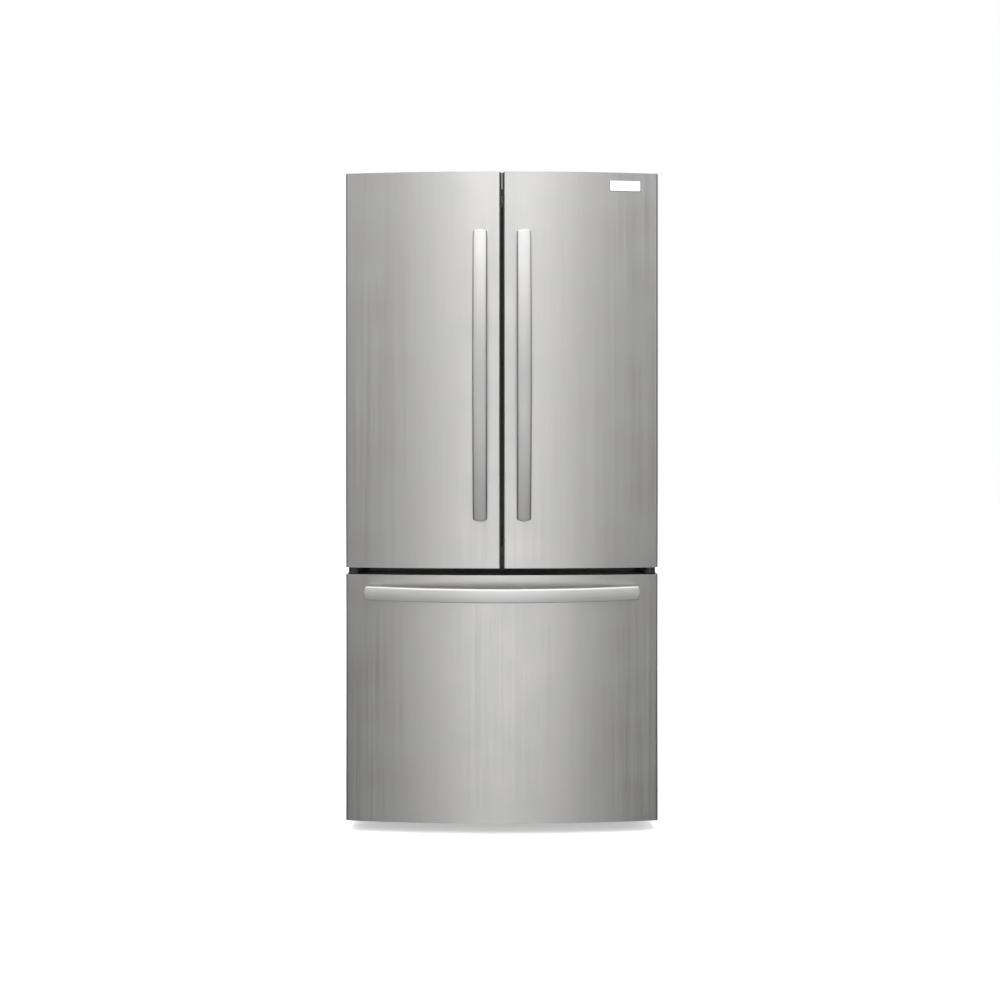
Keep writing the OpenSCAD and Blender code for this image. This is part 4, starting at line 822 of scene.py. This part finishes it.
# Brightness of the studio by height, as (elevation in degrees, value). The strip is the tall soft box
# ahead of the object, the walls are all that is round it, and the banks are the two boxes at its sides.
STRIP = [(-60, 0.4), (-37, 0.66), (-27, 0.78), (-20, 0.68), (-16, 0.76), (-12, 1.3), (-8, 1.06)]
STRIP += [(0, 0.95), (10, 1.0), (20, 1.2), (32, 1.5), (45, 1.8), (70, 1.6)]
WALLS = [(-60, 0.02), (-25, 0.02), (-18, 0.01), (-12, 0.13), (-6, 0.13), (0, 0.11), (12, 0.13)]
WALLS += [(30, 0.25), (45, 0.8), (65, 1.8), (90, 2.4)]
BANKS = [(-90, 0.7), (-45, 0.9), (-36, 0.7), (-27, 0.15), (-18, 0.0), (-12, 0.38), (-5, 0.75)]
BANKS += [(10, 0.85), (30, 0.95), (60, 1.2), (90, 0.5)]
STRIP_POWER = 2.4
REAR_POWER = 0.55
FLOOR_HALF = 14.0


def studio_floor():
    """A pale floor with a faint glow of its own, so the shadow under the object stays soft."""
    mesh = bpy.data.meshes.new("studio_floor")
    s = FLOOR_HALF
    mesh.from_pydata([(-s, -s, 0), (s, -s, 0), (s, s, 0), (-s, s, 0)], [], [(0, 1, 2, 3)])
    floor = bpy.data.objects.new("studio_floor", mesh)
    SCENE.collection.objects.link(floor)
    f = Shader("studio_floor_paint")
    f.colour(f.mix(f.spread(f.noise(40.0, 3.0, 0.5)), grey(0.66), grey(0.68)))
    f.set(Roughness=0.9, Specular_IOR_Level=0.1, Emission_Color=(1, 1, 1, 1), Emission_Strength=0.42)
    mesh.materials.append(f.mat)
    floor.visible_glossy = False


def studio_world():
    """Soft boxes that the steel reflects, on a background that the camera sees as white."""
    world = bpy.data.worlds.new("studio_world")
    SCENE.world = world
    world.use_nodes = True
    tree = world.node_tree
    tree.nodes.clear()
    out = tree.nodes.new("ShaderNodeOutputWorld")
    coord = tree.nodes.new("ShaderNodeTexCoord")
    split = tree.nodes.new("ShaderNodeSeparateXYZ")
    tree.links.new(coord.outputs["Generated"], split.inputs["Vector"])

    def m(op, a, b=None):
        n = tree.nodes.new("ShaderNodeMath")
        n.operation = op
        for socket, value in zip(n.inputs, (a, b)):
            if isinstance(value, (int, float)):
                socket.default_value = value
            elif value is not None:
                tree.links.new(value, socket)
        return n.outputs["Value"]

    def ramp(value, lo, hi, a, b):
        n = tree.nodes.new("ShaderNodeMapRange")
        n.interpolation_type = "SMOOTHSTEP"
        for key, v in (("From Min", lo), ("From Max", hi), ("To Min", a), ("To Max", b)):
            n.inputs[key].default_value = v
        tree.links.new(value, n.inputs["Value"])
        return n.outputs["Result"]

    def curve(points):
        """A brightness for each height of the studio, from points of (elevation in degrees, value)."""
        n = tree.nodes.new("ShaderNodeValToRGB")
        top = max(v for _, v in points)
        stops = n.color_ramp.elements
        while len(stops) < len(points):
            stops.new(0.5)
        for stop, (degrees, v) in zip(stops, points):
            stop.position = (math.sin(math.radians(degrees)) + 1) / 2
            stop.color = (*grey(v / top), 1)
        tree.links.new(m("MULTIPLY", m("ADD", z, 1.0), 0.5), n.inputs["Fac"])
        return m("MULTIPLY", n.outputs["Color"], top)

    def background(strength):
        n = tree.nodes.new("ShaderNodeBackground")
        n.inputs["Color"].default_value = (1, 1, 1, 1)
        if isinstance(strength, float):
            n.inputs["Strength"].default_value = strength
        else:
            tree.links.new(strength, n.inputs["Strength"])
        return n.outputs["Background"]

    # Side is how far off straight ahead a direction lies, as its x over its -y
    x, y, z = split.outputs
    ahead = m("MAXIMUM", m("MULTIPLY", y, -1.0), 0.0)
    side = m("DIVIDE", m("ABSOLUTE", x), m("ADD", ahead, 0.02))
    strip = ramp(side, 0.02, 0.20, 1.0, 0.0)
    wing = m("MULTIPLY", ramp(side, 0.38, 0.75, 0.0, 1.0), ramp(side, 1.0, 1.9, 1.0, 0.0))
    rear = m("MULTIPLY", ramp(y, 0.3, 0.6, 0.0, 1.0), ramp(z, -0.28, -0.12, 1.0, 0.0))
    total = m("ADD", curve(WALLS), m("MULTIPLY", m("MULTIPLY", strip, curve(STRIP)), STRIP_POWER))
    total = m("ADD", total, m("MULTIPLY", rear, REAR_POWER))
    total = m("ADD", total, m("MULTIPLY", wing, curve(BANKS)))
    path = tree.nodes.new("ShaderNodeLightPath")
    mix = tree.nodes.new("ShaderNodeMixShader")
    tree.links.new(path.outputs["Is Camera Ray"], mix.inputs["Fac"])
    tree.links.new(background(total), mix.inputs[1])
    tree.links.new(background(1.0), mix.inputs[2])
    tree.links.new(mix.outputs["Shader"], out.inputs["Surface"])


def area(name, place, target, size, size_y, watts, glossy=False):
    """A soft box at a place, turned to its target."""
    light = bpy.data.lights.new(name, "AREA")
    light.shape = "RECTANGLE"
    light.size, light.size_y, light.energy = size, size_y, watts
    obj = bpy.data.objects.new(name, light)
    SCENE.collection.objects.link(obj)
    obj.location = place
    obj.rotation_euler = (Vector(target) - Vector(place)).to_track_quat("-Z", "Y").to_euler()
    obj.visible_glossy = glossy
    obj.visible_camera = False


studio_floor()
studio_world()
area("soft_top", (-0.8, -0.6, 5.0), (0, 0, 0), 7.0, 7.0, 300)
area("soft_left", (-5.5, -1.5, 2.4), (0, 0, 0.8), 4.0, 4.0, 160)
area("soft_right", (5.5, -0.5, 2.4), (0, 0, 0.8), 4.0, 4.0, 140)
area("soft_back", (-0.6, 4.6, 5.0), (0, 0, 0.8), 4.0, 2.6, 190, glossy=True)


# ---------------------------------------------------------------- camera

SENSOR_MM = 36.0
VIEW_W = 2.56016385  # width in metres that the frame spans at the fronts' outer edges
VIEW_DISTANCE = 2.4  # from those edges to the camera
VIEW_SIDE = -0.0049923  # the camera's place beside the object's middle
VIEW_RISE = 0.9480287  # and above the drawer's lower edge
VIEW_SHIFT = -0.05


def camera():
    data = bpy.data.cameras.new("main_camera")
    data.sensor_width = SENSOR_MM
    data.lens = VIEW_DISTANCE / VIEW_W * SENSOR_MM
    data.shift_y = VIEW_SHIFT
    cam = bpy.data.objects.new("main_camera", data)
    SCENE.collection.objects.link(cam)
    cam.location = (VIEW_SIDE, Y_EDGE - VIEW_DISTANCE, DRAWER[0].z + VIEW_RISE)
    cam.rotation_euler = (math.radians(90), 0, 0)
    data.clip_start, data.clip_end = 0.05, 100
    SCENE.camera = cam


camera()
SCENE.view_settings.view_transform = "Standard"
SCENE.view_settings.look = "None"
